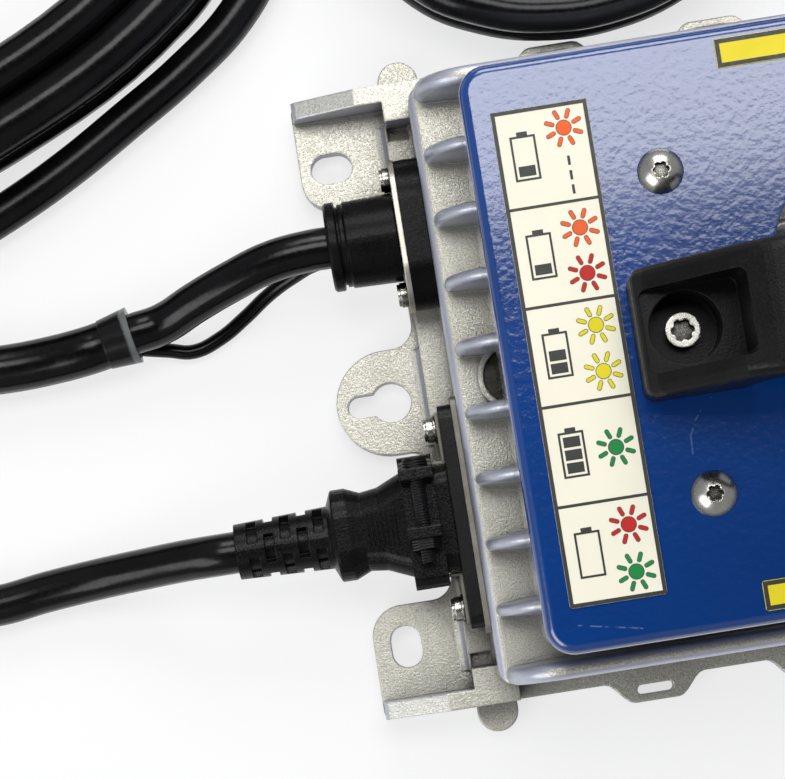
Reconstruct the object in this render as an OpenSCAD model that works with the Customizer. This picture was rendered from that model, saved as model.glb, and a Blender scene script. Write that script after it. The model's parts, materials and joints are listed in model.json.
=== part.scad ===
// Sealed battery charger for a golf cart: a finned die-cast housing under a folded sheet cover.
// X runs along the charger, away from its connectors. Y runs across it. Z is up from the mounting face.

/* [Housing] */
// Length of the casting over its end walls
body_l = 216; // [190:1:240]
// Width of the casting over its side walls
body_w = 132.6; // [126:0.2:146]
// Height of the channel floor above the mounting face
deck_z = 30; // [30:0.5:34]
// Thickness of the channel floor
deck_t = 3.5; // [2.5:0.5:4]
// Thickness of the side and end walls
wall_t = 6; // [4.5:0.5:7]
// Height of the fin tops above the channel floor
fin_h = 17; // [14:0.5:20]
// Number of fins between the two side rims
fin_n = 8; // [6:1:9]
// Thickness of a fin at its foot
fin_foot_t = 4.2; // [3.4:0.1:5]
// Thickness of a fin at its rounded top
fin_top_t = 2.6; // [2:0.1:3]
// Thickness of a side rim at its foot
rim_foot_t = 4.6; // [4:0.1:5.4]
// Thickness of a side rim at its rounded top
rim_top_t = 3.8; // [3:0.1:4.4]
// Radius of the arc at each end of a fin
fin_end_r = 12; // [8:0.5:13]
// Radius of the vertical corners of the casting
body_corner_r = 4; // [2:0.5:6]

/* [Mounting flange] */
// Thickness of the flange and of the mounting tabs
plate_t = 4.5; // [3.5:0.5:6]
// How far the flange stands out past the side walls
flange_over = 4.2; // [3:0.1:6]
// How far the flange stands out past the end walls
end_over = 7; // [6.4:0.2:9]
// Length over the mounting tabs
tab_span = 269.2; // [262:0.2:290]
// Width of a corner tab
tab_w = 25; // [22:0.5:28]
// Radius of the round middle tab
lobe_r = 12; // [10.5:0.5:14]
// Bore of the keyhole in the middle tab
key_d = 9; // [8:0.5:10]
// Width of the narrow end of the keyhole
key_slot_w = 5; // [4:0.5:6]
// Width of a corner slot
slot_w = 6.8; // [5.5:0.1:7.5]
// Length of a corner slot over its round ends
slot_l = 9.4; // [8.5:0.1:11]
// Number of slotted ears on each long side
ear_n = 5; // [3:2:5]
// Distance between the ears
ear_pitch = 36.75; // [34:0.25:38]
// How far an ear stands out past the flange
ear_out = 4.9; // [4:0.1:6]
// Length of the slot in an ear
ear_slot_l = 8.2; // [6:0.1:9]
// Width of the slot in an ear
ear_slot_w = 2.2; // [1.8:0.1:3]

/* [Cover] */
// Length of the cover
cover_l = 196.4; // [184:0.2:202]
// Width of the cover
cover_w = 120.4; // [112:0.2:121]
// Depth of the cover from its top face to its lower edge
cover_h = 27; // [24:0.5:30]
// Thickness of the cover sheet
cover_t = 1.2; // [0.8:0.1:1.6]
// Radius of the cover's upright corners
cover_corner_r = 6; // [4.5:0.5:9]
// Radius of the fold round the cover's top face
cover_fold_r = 2.4; // [2:0.1:3]
// Diameter of the air opening in the middle of the cover
opening_d = 86.6; // [70:0.2:92]
// Half the distance between the cover screws along the charger
cover_screw_x = 60.6; // [56:0.2:64]
// Half the distance between the cover screws across the charger
cover_screw_y = 32.8; // [28:0.2:34]
// Diameter of a cover screw's thread
cover_screw_d = 5; // [4:0.5:5]
// Diameter of a cover screw's head
cover_head_d = 9.4; // [8.4:0.1:10]

/* [Handle] */
// Half the distance between the two handle screws
handle_x = 62; // [60:0.5:64]
// Width of the handle
handle_w = 26; // [24:0.5:28]
// Length of a handle foot along the charger
foot_l = 25.2; // [24:0.2:27]
// Height of the handle over the cover
handle_h = 33; // [31:0.5:38]
// Thickness of the grip
grip_t = 14; // [11:0.5:15]
// Height of the screw pocket's floor over the cover
pocket_z = 12.5; // [11.5:0.5:14]
// Diameter of the counterbore in the pocket
counterbore_d = 14.4; // [13:0.2:15]
// Diameter of a handle screw's head
handle_head_d = 7; // [6:0.2:8]

/* [Mains inlet] */
// Distance of the inlet from the charger's middle line
inlet_y = -28.3; // [-30:0.1:-27]
// Height of both connectors over the mounting face
port_z = 17; // [16.9:0.1:18]
// Length of the inlet flange
inlet_l = 49.2; // [48:0.2:52]
// Height of the inlet flange
inlet_h = 20; // [18.4:0.2:20.2]
// Distance between the inlet screws
inlet_screw_gap = 40; // [38:0.5:41]
// Thickness of the inlet flange
inlet_t = 3; // [2.5:0.1:4]
// Thickness of the metal plate behind the inlet
inlet_plate_t = 1.3; // [1:0.1:2]

/* [Battery gland] */
// Distance of the gland from the charger's middle line
gland_y = 35.4; // [33:0.1:37]
// Diameter of the gland boot
boot_d = 20; // [18:0.5:20.5]
// Length of the boot from its flange to its mouth
boot_l = 17; // [14:0.1:22]
// Length of the oval gland flange
gland_l = 34; // [32:0.5:36]
// Height of the oval gland flange
gland_h = 20; // [18:0.5:20]
// Thickness of the gland flange
gland_t = 5.4; // [4:0.1:6]
// Thickness of the plate over the gland flange
gland_plate_t = 1.2; // [0.8:0.1:1.6]
// Distance between the gland screws
gland_screw_gap = 26; // [25:0.5:27]

/* [Hidden] */
$fn = 48;

// Finishes
cast_grey = [0.72, 0.72, 0.70];
cover_blue = [0.02, 0.22, 0.52];
black_plastic = [0.10, 0.10, 0.11];
rubber_black = [0.07, 0.07, 0.07];
steel = [0.75, 0.75, 0.77];
brass = [0.80, 0.68, 0.42];
board_green = [0.10, 0.36, 0.20];

// Clearances
fit = 0.3;
bore_gap = 0.1;

// Housing levels and places
deck_under = deck_z - deck_t;
fin_top_z = deck_z + fin_h;
cover_top_z = fin_top_z + cover_h;
fin_l = body_l - 3.2;
fin_hub_r = 2;
rim_y = body_w/2 - rim_foot_t/2;
fin_pitch = 2*rim_y/(fin_n + 1);
flange_l = body_l + 2*end_over;
flange_w = body_w + 2*flange_over;
deck_edge_r = 2.2;
ledge_z = plate_t + 2.3;
ledge_over = end_over - 1;
foot_out = 2.1;
cavity_l = body_l - 2*wall_t;
cavity_w = body_w - 2*wall_t;

// Corner blocks and the ribs on the tabs
block_z = plate_t + 11.5;
block_out = 5.7;
block_in = 4;
block_y = body_w/2 - 4.5;
rib_t = flange_over - 0.3;
rib_flat = 6;
rib_low_z = plate_t + 6.5;
notch_l = 4.3;
notch_w = 3.1;
notch_deep = 3.3;
corner_lobe_r = 4.6;
corner_lobe_x = body_l/2 + 1.3;

// Mounting tabs
tab_x = tab_span/2;
tab_round_r = 7;
tab_corner_r = 2;
tab_web_r = 5;
slot_x = tab_x - 7.3;
slot_y = flange_w/2 - 15.5;
key_x = tab_x - lobe_r - 0.4;
key_slot_end = 7.3;
ear_half = 5;
ear_flank = 6.4;

// Base plate and its screws
base_t = 1.5;
gasket_t = 0.8;
seat_w = 3.4;
base_l = cavity_l + 2*seat_w;
base_w = cavity_w + 2*seat_w;
base_seat_z = base_t + gasket_t;
base_corner_r = 5;
base_boss_r = 4.8;
base_screw_d = 3;
base_head_d = 5.8;
base_screw_l = 12;
boss_sink = 0.6;
base_xs = [for (i = [-3, -1, 1, 3]) i*(cavity_l/2 - base_boss_r + boss_sink)/3];
base_y = cavity_w/2 - base_boss_r + boss_sink;

// Posts under the cover
post_r = 5.5;
post_bore_l = 12;
cover_head_h = 2.7;
cover_screw_l = 11;
handle_screw_d = 4;
handle_head_h = 3;
handle_seat = 3;
handle_screw_l = 14;
drive_d = 3.4;

// Status window
window_x = -body_l/2 + 13;
window_ring_r = 7.6;
window_r = 6.3;
window_deep = 3;
window_t = 1.5;

// Connector places on the end wall
wall_x = -body_l/2;
inlet_face_x = wall_x - inlet_plate_t - inlet_t;
boot_x = wall_x - gland_t;
boot_end_x = boot_x - boot_l;
gland_neck_d = 14;
m3 = 3;
pan_d = 5.6;
pan_h = 2.2;
washer_t = 0.6;

// Mains connector, sizes over the moulding
recess_w = 23.6;
recess_h = 15.8;
recess_deep = 13.5;
inlet_body_w = 27;
inlet_body_h = 18.6;
inlet_body_l = 17;
plug_front_w = 24;
plug_front_h = 18;
neck_w = 17.4;
neck_h = 15.2;
neck_d = 20;
flare_d = [10.4, 13, 16, neck_d];
flare_w = [plug_front_w - 0.8, 21, 18.4, neck_w];
rib_n = 7;
rib_d = 12.9;
rib_pitch = 1.05;
collar_d = 26.2;
collar_w = 20.4;
collar_h = 17;
collar_l = 3;
relief_d = 27.6;
relief_w = [14, 12.3];
relief_core_r = 4.95;
slot_pitch = 3.72;
relief_end_x = inlet_face_x - 48.5;

// Depth of the groove in the boot that the gland's plate sits in
plate_grip = 1.7;

// Cords: diameters and heights as they lie
ac_d = 9.3;
sleeve_d = 11.2;
dc_d = 9.5;
wire_d = 3.4;
ac_z = ac_d/2;
dc_z = sleeve_d/2;

// Mains cord coil
ac_c = [-66, 137.7];
ac_turn_r = 57.3;
ac_in_r = ac_turn_r - 1.5*ac_d;
ac_out_r = ac_turn_r + ac_d/2;
ac_coil_h = 2*ac_d;

// Battery lead coil, an oval of two half rounds
dc_c1 = [-223.8, 124.8];
dc_c2 = [-194.4, 140.5];
dc_turn_r = 57;
dc_in_r = dc_turn_r - 1.5*sleeve_d;
dc_out_r = dc_turn_r + sleeve_d/2;
dc_coil_h = 2*sleeve_d;
dc_dir = atan2(dc_c2[1] - dc_c1[1], dc_c2[0] - dc_c1[0]);

// Route of the mains cord from its strain relief to its coil
ac_route = [[relief_end_x, inlet_y, port_z], [relief_end_x - 4, inlet_y, port_z],
    [-173, -28.3, 14.2], [-182, -28.6, 10.4], [-194, -29.2, 6.4],
    [-206, -30.2, 4.8], [-217, -31.5, ac_z], [-235.5, -30.5, ac_z], [-251.3, -21, ac_z],
    [-260.8, -5.2, ac_z], [-261.8, 13.3, ac_z], [-254, 30, ac_z], [-239.5, 41, ac_z],
    [-221, 49.2, ac_z], [-203, 56.6, ac_z], [-187.2, 64.4, ac_z], [-172, 73.4, ac_z],
    [-156.9, 82.8, ac_z], [-143.4, 93.6, ac_z], [-134.4, 106, ac_z], [-130, 116.7, ac_z]];

// Mouth of the sleeve: its place, the way it points and its length
mouth = [-177.4, 24.2, 7.2];
mouth_dir = 190;
mouth_l = 7;
function at_mouth(s, side = 0, up = 0) = mouth + [s*cos(mouth_dir) - side*sin(mouth_dir),
    s*sin(mouth_dir) + side*cos(mouth_dir), up];

// Route of the bare battery cable from the gland to the sleeve
dc_route = [[boot_end_x, gland_y, port_z + 1], [boot_end_x - 4, gland_y, port_z + 1], [-144, 34.4, 17.2],
    [-153, 31.8, 15.2], [-162, 28.7, 12.2], at_mouth(-7, 0, 1.8), at_mouth(0, 0, 1.8)];

// Route of the sleeve from its mouth, over the mains cord, to its coil
sleeve_route = [at_mouth(mouth_l), at_mouth(mouth_l + 4), [-197, 21.5, 6.2], [-207, 21.2, 5.9],
    [-219, 21.8, 6.6], [-232, 22.7, 9.6], [-245, 23, 13.8], [-258.5, 23, 15.8], [-272, 25.2, 14.2],
    [-285, 31.2, 10.4], [-295.5, 41, 7.2], [-302.3, 54, 5.8], [-304.6, 69, dc_z], [-303.4, 84, dc_z],
    [-299.4, 99, dc_z], [-293.4, 112.5, dc_z]];

// Route of the thin sense wire beside the battery cable
wire_route = [[boot_end_x, 33.4, 10.4], [boot_end_x - 2.5, 33.4, 10.4], [-140, 31.4, 6.8], [-146, 28.6, 4.4],
    [-152, 24.6, 2.8], [-158.5, 20.8, 1.9], [-165, 18.8, 1.7],
    at_mouth(-7, 2.6, -4.9), at_mouth(0, 2.6, -4.6)];

// Ends of the cords on top of their coils, each pointing along +X where its plug begins
ac_tail_r = ac_in_r + ac_d/2;
dc_tail_r = dc_in_r + sleeve_d/2;
ac_tail_from = 166;
dc_tail_from = dc_dir + 138;
function round_c(c, r, a, z) = [c[0] + r*cos(a), c[1] + r*sin(a), z];
ac_tail_z = ac_coil_h + ac_z;
dc_tail_z = dc_coil_h + dc_z;
ac_tail_route = [for (a = [ac_tail_from, 150, 134, 118, 104, 94, 90]) round_c(ac_c, ac_tail_r, a, ac_tail_z)];
dc_tail_route = concat(
    [for (a = [dc_tail_from, dc_dir + 122, dc_dir + 106, dc_dir + 90])
        round_c(dc_c1, dc_tail_r, a, dc_tail_z)],
    [for (a = [dc_dir + 90, 104, 94, 90]) round_c(dc_c2, dc_tail_r, a, dc_tail_z)]);

// Inside the housing
board_t = 1.6;
board_z = 5;
board_l = body_l - 46;
board_w = body_w - 32.6;
board_x = 10;
stand_r = 3.6;
stand_x = board_l/2 - 7;
stand_y = board_w/2 - 5;
stand_xy = [for (x = [-stand_x, stand_x]) for (y = [-stand_y, stand_y]) [x + board_x, y]];
board_top = board_z + board_t;

// A right-angle turn that stands an outline in the plane across X, its x along Y and its y along Z
module across_x() {
    rotate([90, 0, 90]) children();
}

// A rectangle with round corners, centred
module round_rect(l, w, r) {
    square([l - 2*r, w], center = true);
    square([l, w - 2*r], center = true);
    for (sx = [-1, 1]) for (sy = [-1, 1]) translate([sx*(l/2 - r), sy*(w/2 - r)]) circle(r);
}

// A slot with round ends, centred, its length along X
module slot2d(l, w) {
    square([l - w, w], center = true);
    for (s = [-1, 1]) translate([s*(l - w)/2, 0]) circle(w/2);
}

// The hollow of a concave corner of radius r, in the quarter x > 0, y > 0
module web2d(r) {
    difference() {
        square(r);
        translate([r, r]) circle(r);
    }
}

// Both ends of the charger: the children at the left end, and again turned over the middle
module both_ends() {
    children();
    mirror([1, 0, 0]) children();
}

// Both long sides
module both_sides() {
    children();
    mirror([0, 1, 0]) children();
}

// A box with round upright corners of radius cr and a fold of radius fr round its top
module folded_box(l, w, z0, z1, cr, fr) {
    translate([0, 0, z0]) linear_extrude(z1 - fr - z0) round_rect(l, w, cr);
    translate([0, 0, z1 - fr]) linear_extrude(fr) round_rect(l - 2*fr, w - 2*fr, cr - fr);
    for (s = [-1, 1]) {
        translate([0, s*(w/2 - fr), z1 - fr]) rotate([0, 90, 0])
            cylinder(r = fr, h = l - 2*cr, center = true);
        translate([s*(l/2 - fr), 0, z1 - fr]) rotate([90, 0, 0])
            cylinder(r = fr, h = w - 2*cr, center = true);
    }
    for (sx = [-1, 1]) for (sy = [-1, 1]) translate([sx*(l/2 - cr), sy*(w/2 - cr), z1 - fr])
        rotate_extrude() {
            square([cr - fr, fr]);
            intersection() {
                translate([cr - fr, 0]) circle(fr);
                square([cr, fr]);
            }
        }
}

// Unit vector
function unit(v) = v/norm(v);

// Direction of travel at point i of a route
function travel(p, i) = unit(p[min(i + 1, len(p) - 1)] - p[max(i - 1, 0)]);

// Ring of n points of radius r round point i of a route
function ring(p, i, r, n) =
    let (t = travel(p, i), s = unit(cross([0, 0, 1], t)), u = cross(t, s))
    [for (k = [0:n - 1]) p[i] + r*(cos(360*k/n)*s + sin(360*k/n)*u)];

// A tube of diameter d swept along a route, closed at both ends
module tube(p, d, n = 10) {
    rings = len(p);
    pts = [for (i = [0:rings - 1]) each ring(p, i, d/2, n)];
    sides = [for (i = [0:rings - 2]) for (k = [0:n - 1])
        [i*n + k, i*n + (k + 1)%n, (i + 1)*n + (k + 1)%n, (i + 1)*n + k]];
    start = [[for (k = [n - 1:-1:0]) k]];
    finish = [[for (k = [0:n - 1]) (rings - 1)*n + k]];
    polyhedron(points = pts, faces = concat(sides, start, finish), convexity = 6);
}

// Outline of a fin standing on the channel floor: upright foot, tapered sides, round top
module fin_outline(foot_t, top_t, h) {
    foot_h = h - fin_end_r + fin_hub_r;
    polygon([[-foot_t/2, 0], [foot_t/2, 0], [foot_t/2, foot_h], [top_t/2, h - top_t/2],
        [-top_t/2, h - top_t/2], [-foot_t/2, foot_h]]);
    translate([0, h - top_t/2]) circle(top_t/2);
}

// The same outline from the centre of the end arc outward, its x along the arc's radius
module fin_arc_outline(foot_t, top_t) {
    polygon([[0, -foot_t/2], [fin_hub_r, -foot_t/2], [fin_end_r - top_t/2, -top_t/2],
        [fin_end_r - top_t/2, top_t/2], [fin_hub_r, foot_t/2], [0, foot_t/2]]);
    translate([fin_end_r - top_t/2, 0]) circle(top_t/2);
}

// A fin of length l along X, standing on z = 0, with an arc and an upright nose at each end
module fin(l, foot_t, top_t, h) {
    run = l - 2*fin_end_r;
    across_x() translate([0, 0, -run/2]) linear_extrude(run) fin_outline(foot_t, top_t, h);
    both_ends() translate([l/2 - fin_end_r, 0, 0]) {
        linear_extrude(h - fin_end_r) fin_arc_outline(foot_t, top_t);
        translate([0, 0, h - fin_end_r]) rotate([90, 0, 0])
            rotate_extrude(angle = 90) fin_arc_outline(foot_t, top_t);
    }
}

// The eight fins and the two side rims
module fins() {
    for (i = [1:fin_n]) translate([0, -rim_y + i*fin_pitch, deck_z]) fin(fin_l, fin_foot_t, fin_top_t, fin_h);
    for (s = [-1, 1]) translate([0, s*rim_y, deck_z]) fin(fin_l, rim_foot_t, rim_top_t, fin_h);
}

// Closed box under the fins, its top edge rounded at both ends
module body_block() {
    intersection() {
        linear_extrude(deck_z) round_rect(body_l, body_w, body_corner_r);
        translate([0, body_w/2, 0]) rotate([90, 0, 0]) linear_extrude(body_w) {
            translate([-body_l/2, 0]) square([body_l, deck_z - deck_edge_r]);
            translate([-body_l/2 + deck_edge_r, 0]) square([body_l - 2*deck_edge_r, deck_z]);
            for (s = [-1, 1]) translate([s*(body_l/2 - deck_edge_r), deck_z - deck_edge_r])
                circle(deck_edge_r);
        }
    }
}

// Outline of one corner tab at the left end, on the +Y side
module corner_tab2d() {
    x0 = -tab_x;
    y1 = flange_w/2;
    y0 = y1 - tab_w;
    translate([x0 + tab_round_r, y0]) square([tab_x - tab_round_r - flange_l/2 + 1, tab_w]);
    translate([x0, y0 + tab_round_r]) square([tab_round_r, tab_w - tab_round_r - tab_corner_r]);
    translate([x0 + tab_round_r, y0 + tab_round_r]) circle(tab_round_r);
    translate([x0 + tab_corner_r, y1 - tab_corner_r]) circle(tab_corner_r);
    translate([x0 + tab_corner_r, y1 - tab_corner_r]) square([tab_round_r, tab_corner_r]);
    translate([-flange_l/2, y0]) mirror([1, 0]) mirror([0, 1]) web2d(tab_web_r);
}

// Outline of the round middle tab at the left end
module middle_tab2d() {
    translate([-tab_x + lobe_r, 0]) circle(lobe_r);
    translate([-tab_x + lobe_r, -lobe_r]) square([tab_x - lobe_r - flange_l/2 + 1, 2*lobe_r]);
    for (s = [-1, 1]) translate([-flange_l/2, s*lobe_r]) mirror([1, 0])
        mirror([0, s < 0 ? 1 : 0]) web2d(tab_web_r);
}

// Outline of a slotted ear on the +Y side, with hollow flanks
module ear2d() {
    steps = 6;
    flank = [for (i = [0:steps]) [ear_half + ear_flank*i/steps,
        ear_out*(0.5 + 0.5*cos(180*i/steps))]];
    translate([0, flange_w/2 - 1]) polygon(concat(
        [[-ear_half - ear_flank, 0]],
        [for (i = [steps:-1:0]) [-flank[i][0], flank[i][1] + 1]],
        [for (i = [0:steps]) [flank[i][0], flank[i][1] + 1]],
        [[ear_half + ear_flank, 0]]));
}

// Keyhole, its narrow end pointing away from the housing
module keyhole2d() {
    translate([-key_x, 0]) circle(key_d/2);
    translate([-key_x - key_slot_end/2, 0]) slot2d(key_slot_end + key_slot_w, key_slot_w);
}

// Outline of the flange with its tabs, lobes and ears
module flange2d() {
    difference() {
        union() {
            round_rect(flange_l, flange_w, 2);
            both_ends() {
                both_sides() corner_tab2d();
                middle_tab2d();
                both_sides() translate([-corner_lobe_x, flange_w/2 + 1.8]) circle(corner_lobe_r);
                both_sides() translate([-corner_lobe_x - corner_lobe_r, flange_w/2 - 2])
                    square([2*corner_lobe_r, 3.8]);
            }
            for (i = [0:ear_n - 1]) both_sides() translate([(i - (ear_n - 1)/2)*ear_pitch, 0]) ear2d();
        }
        both_ends() {
            translate([-slot_x, slot_y]) slot2d(slot_l, slot_w);
            translate([-slot_x, -slot_y]) rotate(90) slot2d(slot_l, slot_w);
            keyhole2d();
        }
        for (i = [0:ear_n - 1]) both_sides()
            translate([(i - (ear_n - 1)/2)*ear_pitch, flange_w/2 + ear_out - 2.7])
                slot2d(ear_slot_l, ear_slot_w);
    }
}

// Hollow slope at the foot of the left ledge, from y0 to y1
module ledge_foot(y0, y1) {
    foot_h = ledge_z - plate_t - 0.2;
    translate([-body_l/2 - ledge_over, y1, plate_t]) rotate([90, 0, 0]) linear_extrude(y1 - y0) polygon([
        [0.5, -0.5], [0.5, foot_h], [0, foot_h], [-0.18*foot_out, 0.45*foot_h],
        [-0.45*foot_out, 0.16*foot_h], [-foot_out, 0], [-foot_out, -0.5]]);
}

// Ledge, corner block and tab rib at the left end
module end_relief() {
    ledge_y = block_y + 1;
    difference() {
        translate([-body_l/2 - ledge_over, -ledge_y, plate_t - 1])
            cube([ledge_over + 1, 2*ledge_y, ledge_z - plate_t + 1]);
        both_sides() translate([-body_l/2 - ledge_over - 1, block_y - notch_w, ledge_z - notch_deep])
            cube([notch_l + 2, notch_w, notch_deep + 1]);
    }
    ledge_foot(-lobe_r + 1, lobe_r - 1);
    both_sides() {
        ledge_foot(flange_w/2 - tab_w + 1, block_y + 0.5);
        translate([-body_l/2 - block_out, block_y, plate_t - 1])
            cube([block_out + block_in, flange_w/2 - 0.3 - block_y, block_z - plate_t + 1]);
        translate([0, flange_w/2 - 0.3, 0]) rotate([90, 0, 0]) linear_extrude(rib_t) polygon([
            [-body_l/2 - block_out + 1, plate_t - 1], [-body_l/2 - block_out + 1, block_z],
            [-body_l/2 - block_out - rib_flat, block_z], [-tab_x + 1.2, rib_low_z],
            [-tab_x + 0.4, rib_low_z - 1], [-tab_x + 0.4, plate_t - 1]]);
    }
}

// Bosses and stands inside the closed box
module inner_bosses() {
    for (x = base_xs) both_sides() translate([x, base_y, base_seat_z])
        cylinder(r = base_boss_r, h = deck_under - base_seat_z + 1);
    for (p = stand_xy) translate([p[0], p[1], board_top])
        cylinder(r = stand_r, h = deck_under - board_top + 1);
}

// Outline of the inlet cut-out in the end wall, in the plane across X
module inlet_hole2d() {
    round_rect(inlet_body_w + 2*fit, inlet_body_h + 2*fit, 2.5);
}

module heatsink_housing() {
    color(cast_grey) difference() {
        union() {
            linear_extrude(plate_t) flange2d();
            body_block();
            fins();
            both_ends() end_relief();
            for (x = [-cover_screw_x, cover_screw_x]) both_sides() translate([x, cover_screw_y, deck_z - 1])
                cylinder(r = post_r, h = cover_top_z - cover_t - deck_z + 1);
            for (x = [-handle_x, handle_x]) translate([x, 0, deck_z - 1])
                cylinder(r = post_r, h = cover_top_z - cover_t - deck_z + 1);
            translate([window_x, 0, deck_z - 1]) cylinder(r = window_ring_r, h = 1.8);
        }
        difference() {
            translate([0, 0, base_seat_z - 0.5]) linear_extrude(deck_under - base_seat_z + 0.5)
                round_rect(cavity_l, cavity_w, 3);
            inner_bosses();
        }
        translate([0, 0, -1]) linear_extrude(base_seat_z + 1)
            round_rect(base_l + 2*fit, base_w + 2*fit, base_corner_r);
        for (x = base_xs) both_sides() translate([x, base_y, base_seat_z - 1])
            cylinder(d = base_screw_d + 2*bore_gap, h = base_screw_l + 1);
        for (p = stand_xy) translate([p[0], p[1], board_top - 1])
            cylinder(d = m3 + 2*bore_gap, h = 8);
        for (x = [-cover_screw_x, cover_screw_x]) both_sides()
            translate([x, cover_screw_y, cover_top_z - cover_t - post_bore_l])
                cylinder(d = cover_screw_d + 2*bore_gap, h = post_bore_l + 1);
        for (x = [-handle_x, handle_x]) translate([x, 0, cover_top_z - cover_t - post_bore_l])
            cylinder(d = handle_screw_d + 2*bore_gap, h = post_bore_l + 1);
        translate([window_x, 0, deck_z - window_deep]) cylinder(r = window_r, h = 9);
        translate([window_x, 0, deck_under - 1]) cylinder(r = window_r - 2, h = deck_t + 1);
        translate([wall_x - 1, inlet_y, port_z]) across_x() linear_extrude(wall_t + 2) inlet_hole2d();
        for (s = [-1, 1]) translate([wall_x - 1, inlet_y + s*inlet_screw_gap/2, port_z]) rotate([0, 90, 0])
            cylinder(d = m3 + 2*bore_gap, h = wall_t);
        translate([wall_x - 1, gland_y, port_z]) rotate([0, 90, 0])
            cylinder(d = gland_neck_d + 2*fit, h = wall_t + 2);
        for (s = [-1, 1]) translate([wall_x - 1, gland_y + s*gland_screw_gap/2, port_z]) rotate([0, 90, 0])
            cylinder(d = m3 + 2*bore_gap, h = wall_t);
    }
}

// Holes of a diameter where the base screws pass
module base_holes(d) {
    for (x = base_xs) both_sides() translate([x, base_y, -1]) cylinder(d = d, h = base_seat_z + 2);
}

module base_gasket() {
    color(rubber_black) difference() {
        translate([0, 0, base_t]) linear_extrude(gasket_t) round_rect(base_l, base_w, base_corner_r);
        translate([0, 0, base_t - 1]) linear_extrude(gasket_t + 2) round_rect(cavity_l, cavity_w, 3);
    }
}

module base_plate() {
    color(cast_grey) difference() {
        linear_extrude(base_t) round_rect(base_l, base_w, base_corner_r);
        base_holes(base_screw_d + 2*bore_gap);
        for (x = base_xs) both_sides() translate([x, base_y, 0]) countersink(bore_gap);
    }
}

// Cone of a flat screw head, its face at z = 0, grown by a gap
module countersink(gap) {
    r = base_head_d/2 + gap;
    translate([0, 0, -0.001]) cylinder(r1 = r, r2 = base_screw_d/2 + gap, h = base_t - 0.1);
}

module base_screws() {
    color(steel) for (x = base_xs) both_sides() translate([x, base_y, 0]) difference() {
        union() {
            countersink(0);
            cylinder(d = base_screw_d, h = base_screw_l);
        }
        translate([0, 0, -0.5]) cylinder(d = 1.8, h = 1.4, $fn = 6);
    }
}

module top_cover() {
    inner_l = cover_l - 2*cover_t;
    inner_w = cover_w - 2*cover_t;
    color(cover_blue) difference() {
        folded_box(cover_l, cover_w, fin_top_z, cover_top_z, cover_corner_r, cover_fold_r);
        folded_box(inner_l, inner_w, fin_top_z - 1, cover_top_z - cover_t,
            cover_corner_r - cover_t, cover_fold_r - cover_t);
        translate([0, 0, cover_top_z - cover_t - 1]) cylinder(d = opening_d, h = cover_t + 2, $fn = 96);
        for (x = [-cover_screw_x, cover_screw_x]) both_sides()
            translate([x, cover_screw_y, cover_top_z - cover_t - 1])
                cylinder(d = cover_screw_d + 0.4, h = cover_t + 2);
        for (x = [-handle_x, handle_x]) translate([x, 0, cover_top_z - cover_t - 1])
            cylinder(d = handle_screw_d + 0.4, h = cover_t + 2);
    }
}

// Six-lobed drive recess, d across its lobes
module lobe_drive(d, deep) {
    translate([0, 0, -deep]) linear_extrude(deep + 1) difference() {
        circle(d/2);
        for (a = [0:60:300]) rotate(a + 30) translate([d*0.56, 0]) circle(d*0.16, $fn = 24);
    }
}

// Domed screw head of diameter d and height h, standing on z = 0
module dome_head(d, h) {
    r = (d*d/4 + h*h)/(2*h);
    rotate_extrude() intersection() {
        translate([0, h - r]) circle(r, $fn = 96);
        square([d/2, h]);
    }
}

module cover_screws() {
    color(steel) for (x = [-cover_screw_x, cover_screw_x]) both_sides()
        translate([x, cover_screw_y, cover_top_z]) difference() {
            union() {
                dome_head(cover_head_d, cover_head_h);
                translate([0, 0, -cover_screw_l]) cylinder(d = cover_screw_d, h = cover_screw_l);
            }
            translate([0, 0, cover_head_h]) lobe_drive(drive_d, 1.6);
        }
}

// Side view of the handle, its x along the charger and its y up from the cover
module handle_side2d() {
    xo = handle_x + foot_l/2 - 3.2;
    xi = handle_x - foot_l/2 - 0.9;
    slope_x = xo - 17.7;
    arc_n = 6;
    shoulder = [for (i = [0:arc_n]) [slope_x - 12*i/arc_n, handle_h - 4*pow(1 - i/arc_n, 2)]];
    inner_r = handle_h - grip_t;
    inner = [for (i = [0:arc_n]) [xi - inner_r*0.55*(1 - cos(90*i/arc_n)), inner_r*sin(90*i/arc_n)]];
    half = concat([[xo, -4], [xo, pocket_z - 0.5], [xo - 2.4, pocket_z + 2.6]], shoulder);
    under = concat([[xi, -4]], inner);
    polygon(concat(half, [for (i = [len(half) - 1:-1:0]) [-half[i][0], half[i][1]]],
        [for (p = under) [-p[0], p[1]]],
        [for (i = [len(under) - 1:-1:0]) under[i]]));
}

module carry_handle() {
    edge_r = 2.6;
    color(black_plastic) translate([0, 0, cover_top_z]) difference() {
        intersection() {
            minkowski() {
                rotate([90, 0, 0]) linear_extrude(handle_w - 2*edge_r, center = true)
                    offset(delta = -edge_r) handle_side2d();
                sphere(edge_r, $fn = 16);
            }
            translate([-150, -50, 0]) cube([300, 100, 100]);
        }
        both_ends() {
            translate([-handle_x + 1.4, 0, pocket_z]) linear_extrude(40) round_rect(19.4, 16.6, 1.6);
            translate([-handle_x, 0, handle_seat]) cylinder(d = counterbore_d, h = 20);
            translate([-handle_x, 0, -1]) cylinder(d = handle_screw_d + 0.4, h = 10);
        }
    }
}

module handle_screws() {
    color(steel) for (x = [-handle_x, handle_x]) translate([x, 0, cover_top_z + handle_seat]) difference() {
        union() {
            cylinder(d = handle_head_d, h = handle_head_h);
            translate([0, 0, -handle_screw_l]) cylinder(d = handle_screw_d, h = handle_screw_l);
        }
        translate([0, 0, handle_head_h]) lobe_drive(4.6, 2);
    }
}

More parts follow.
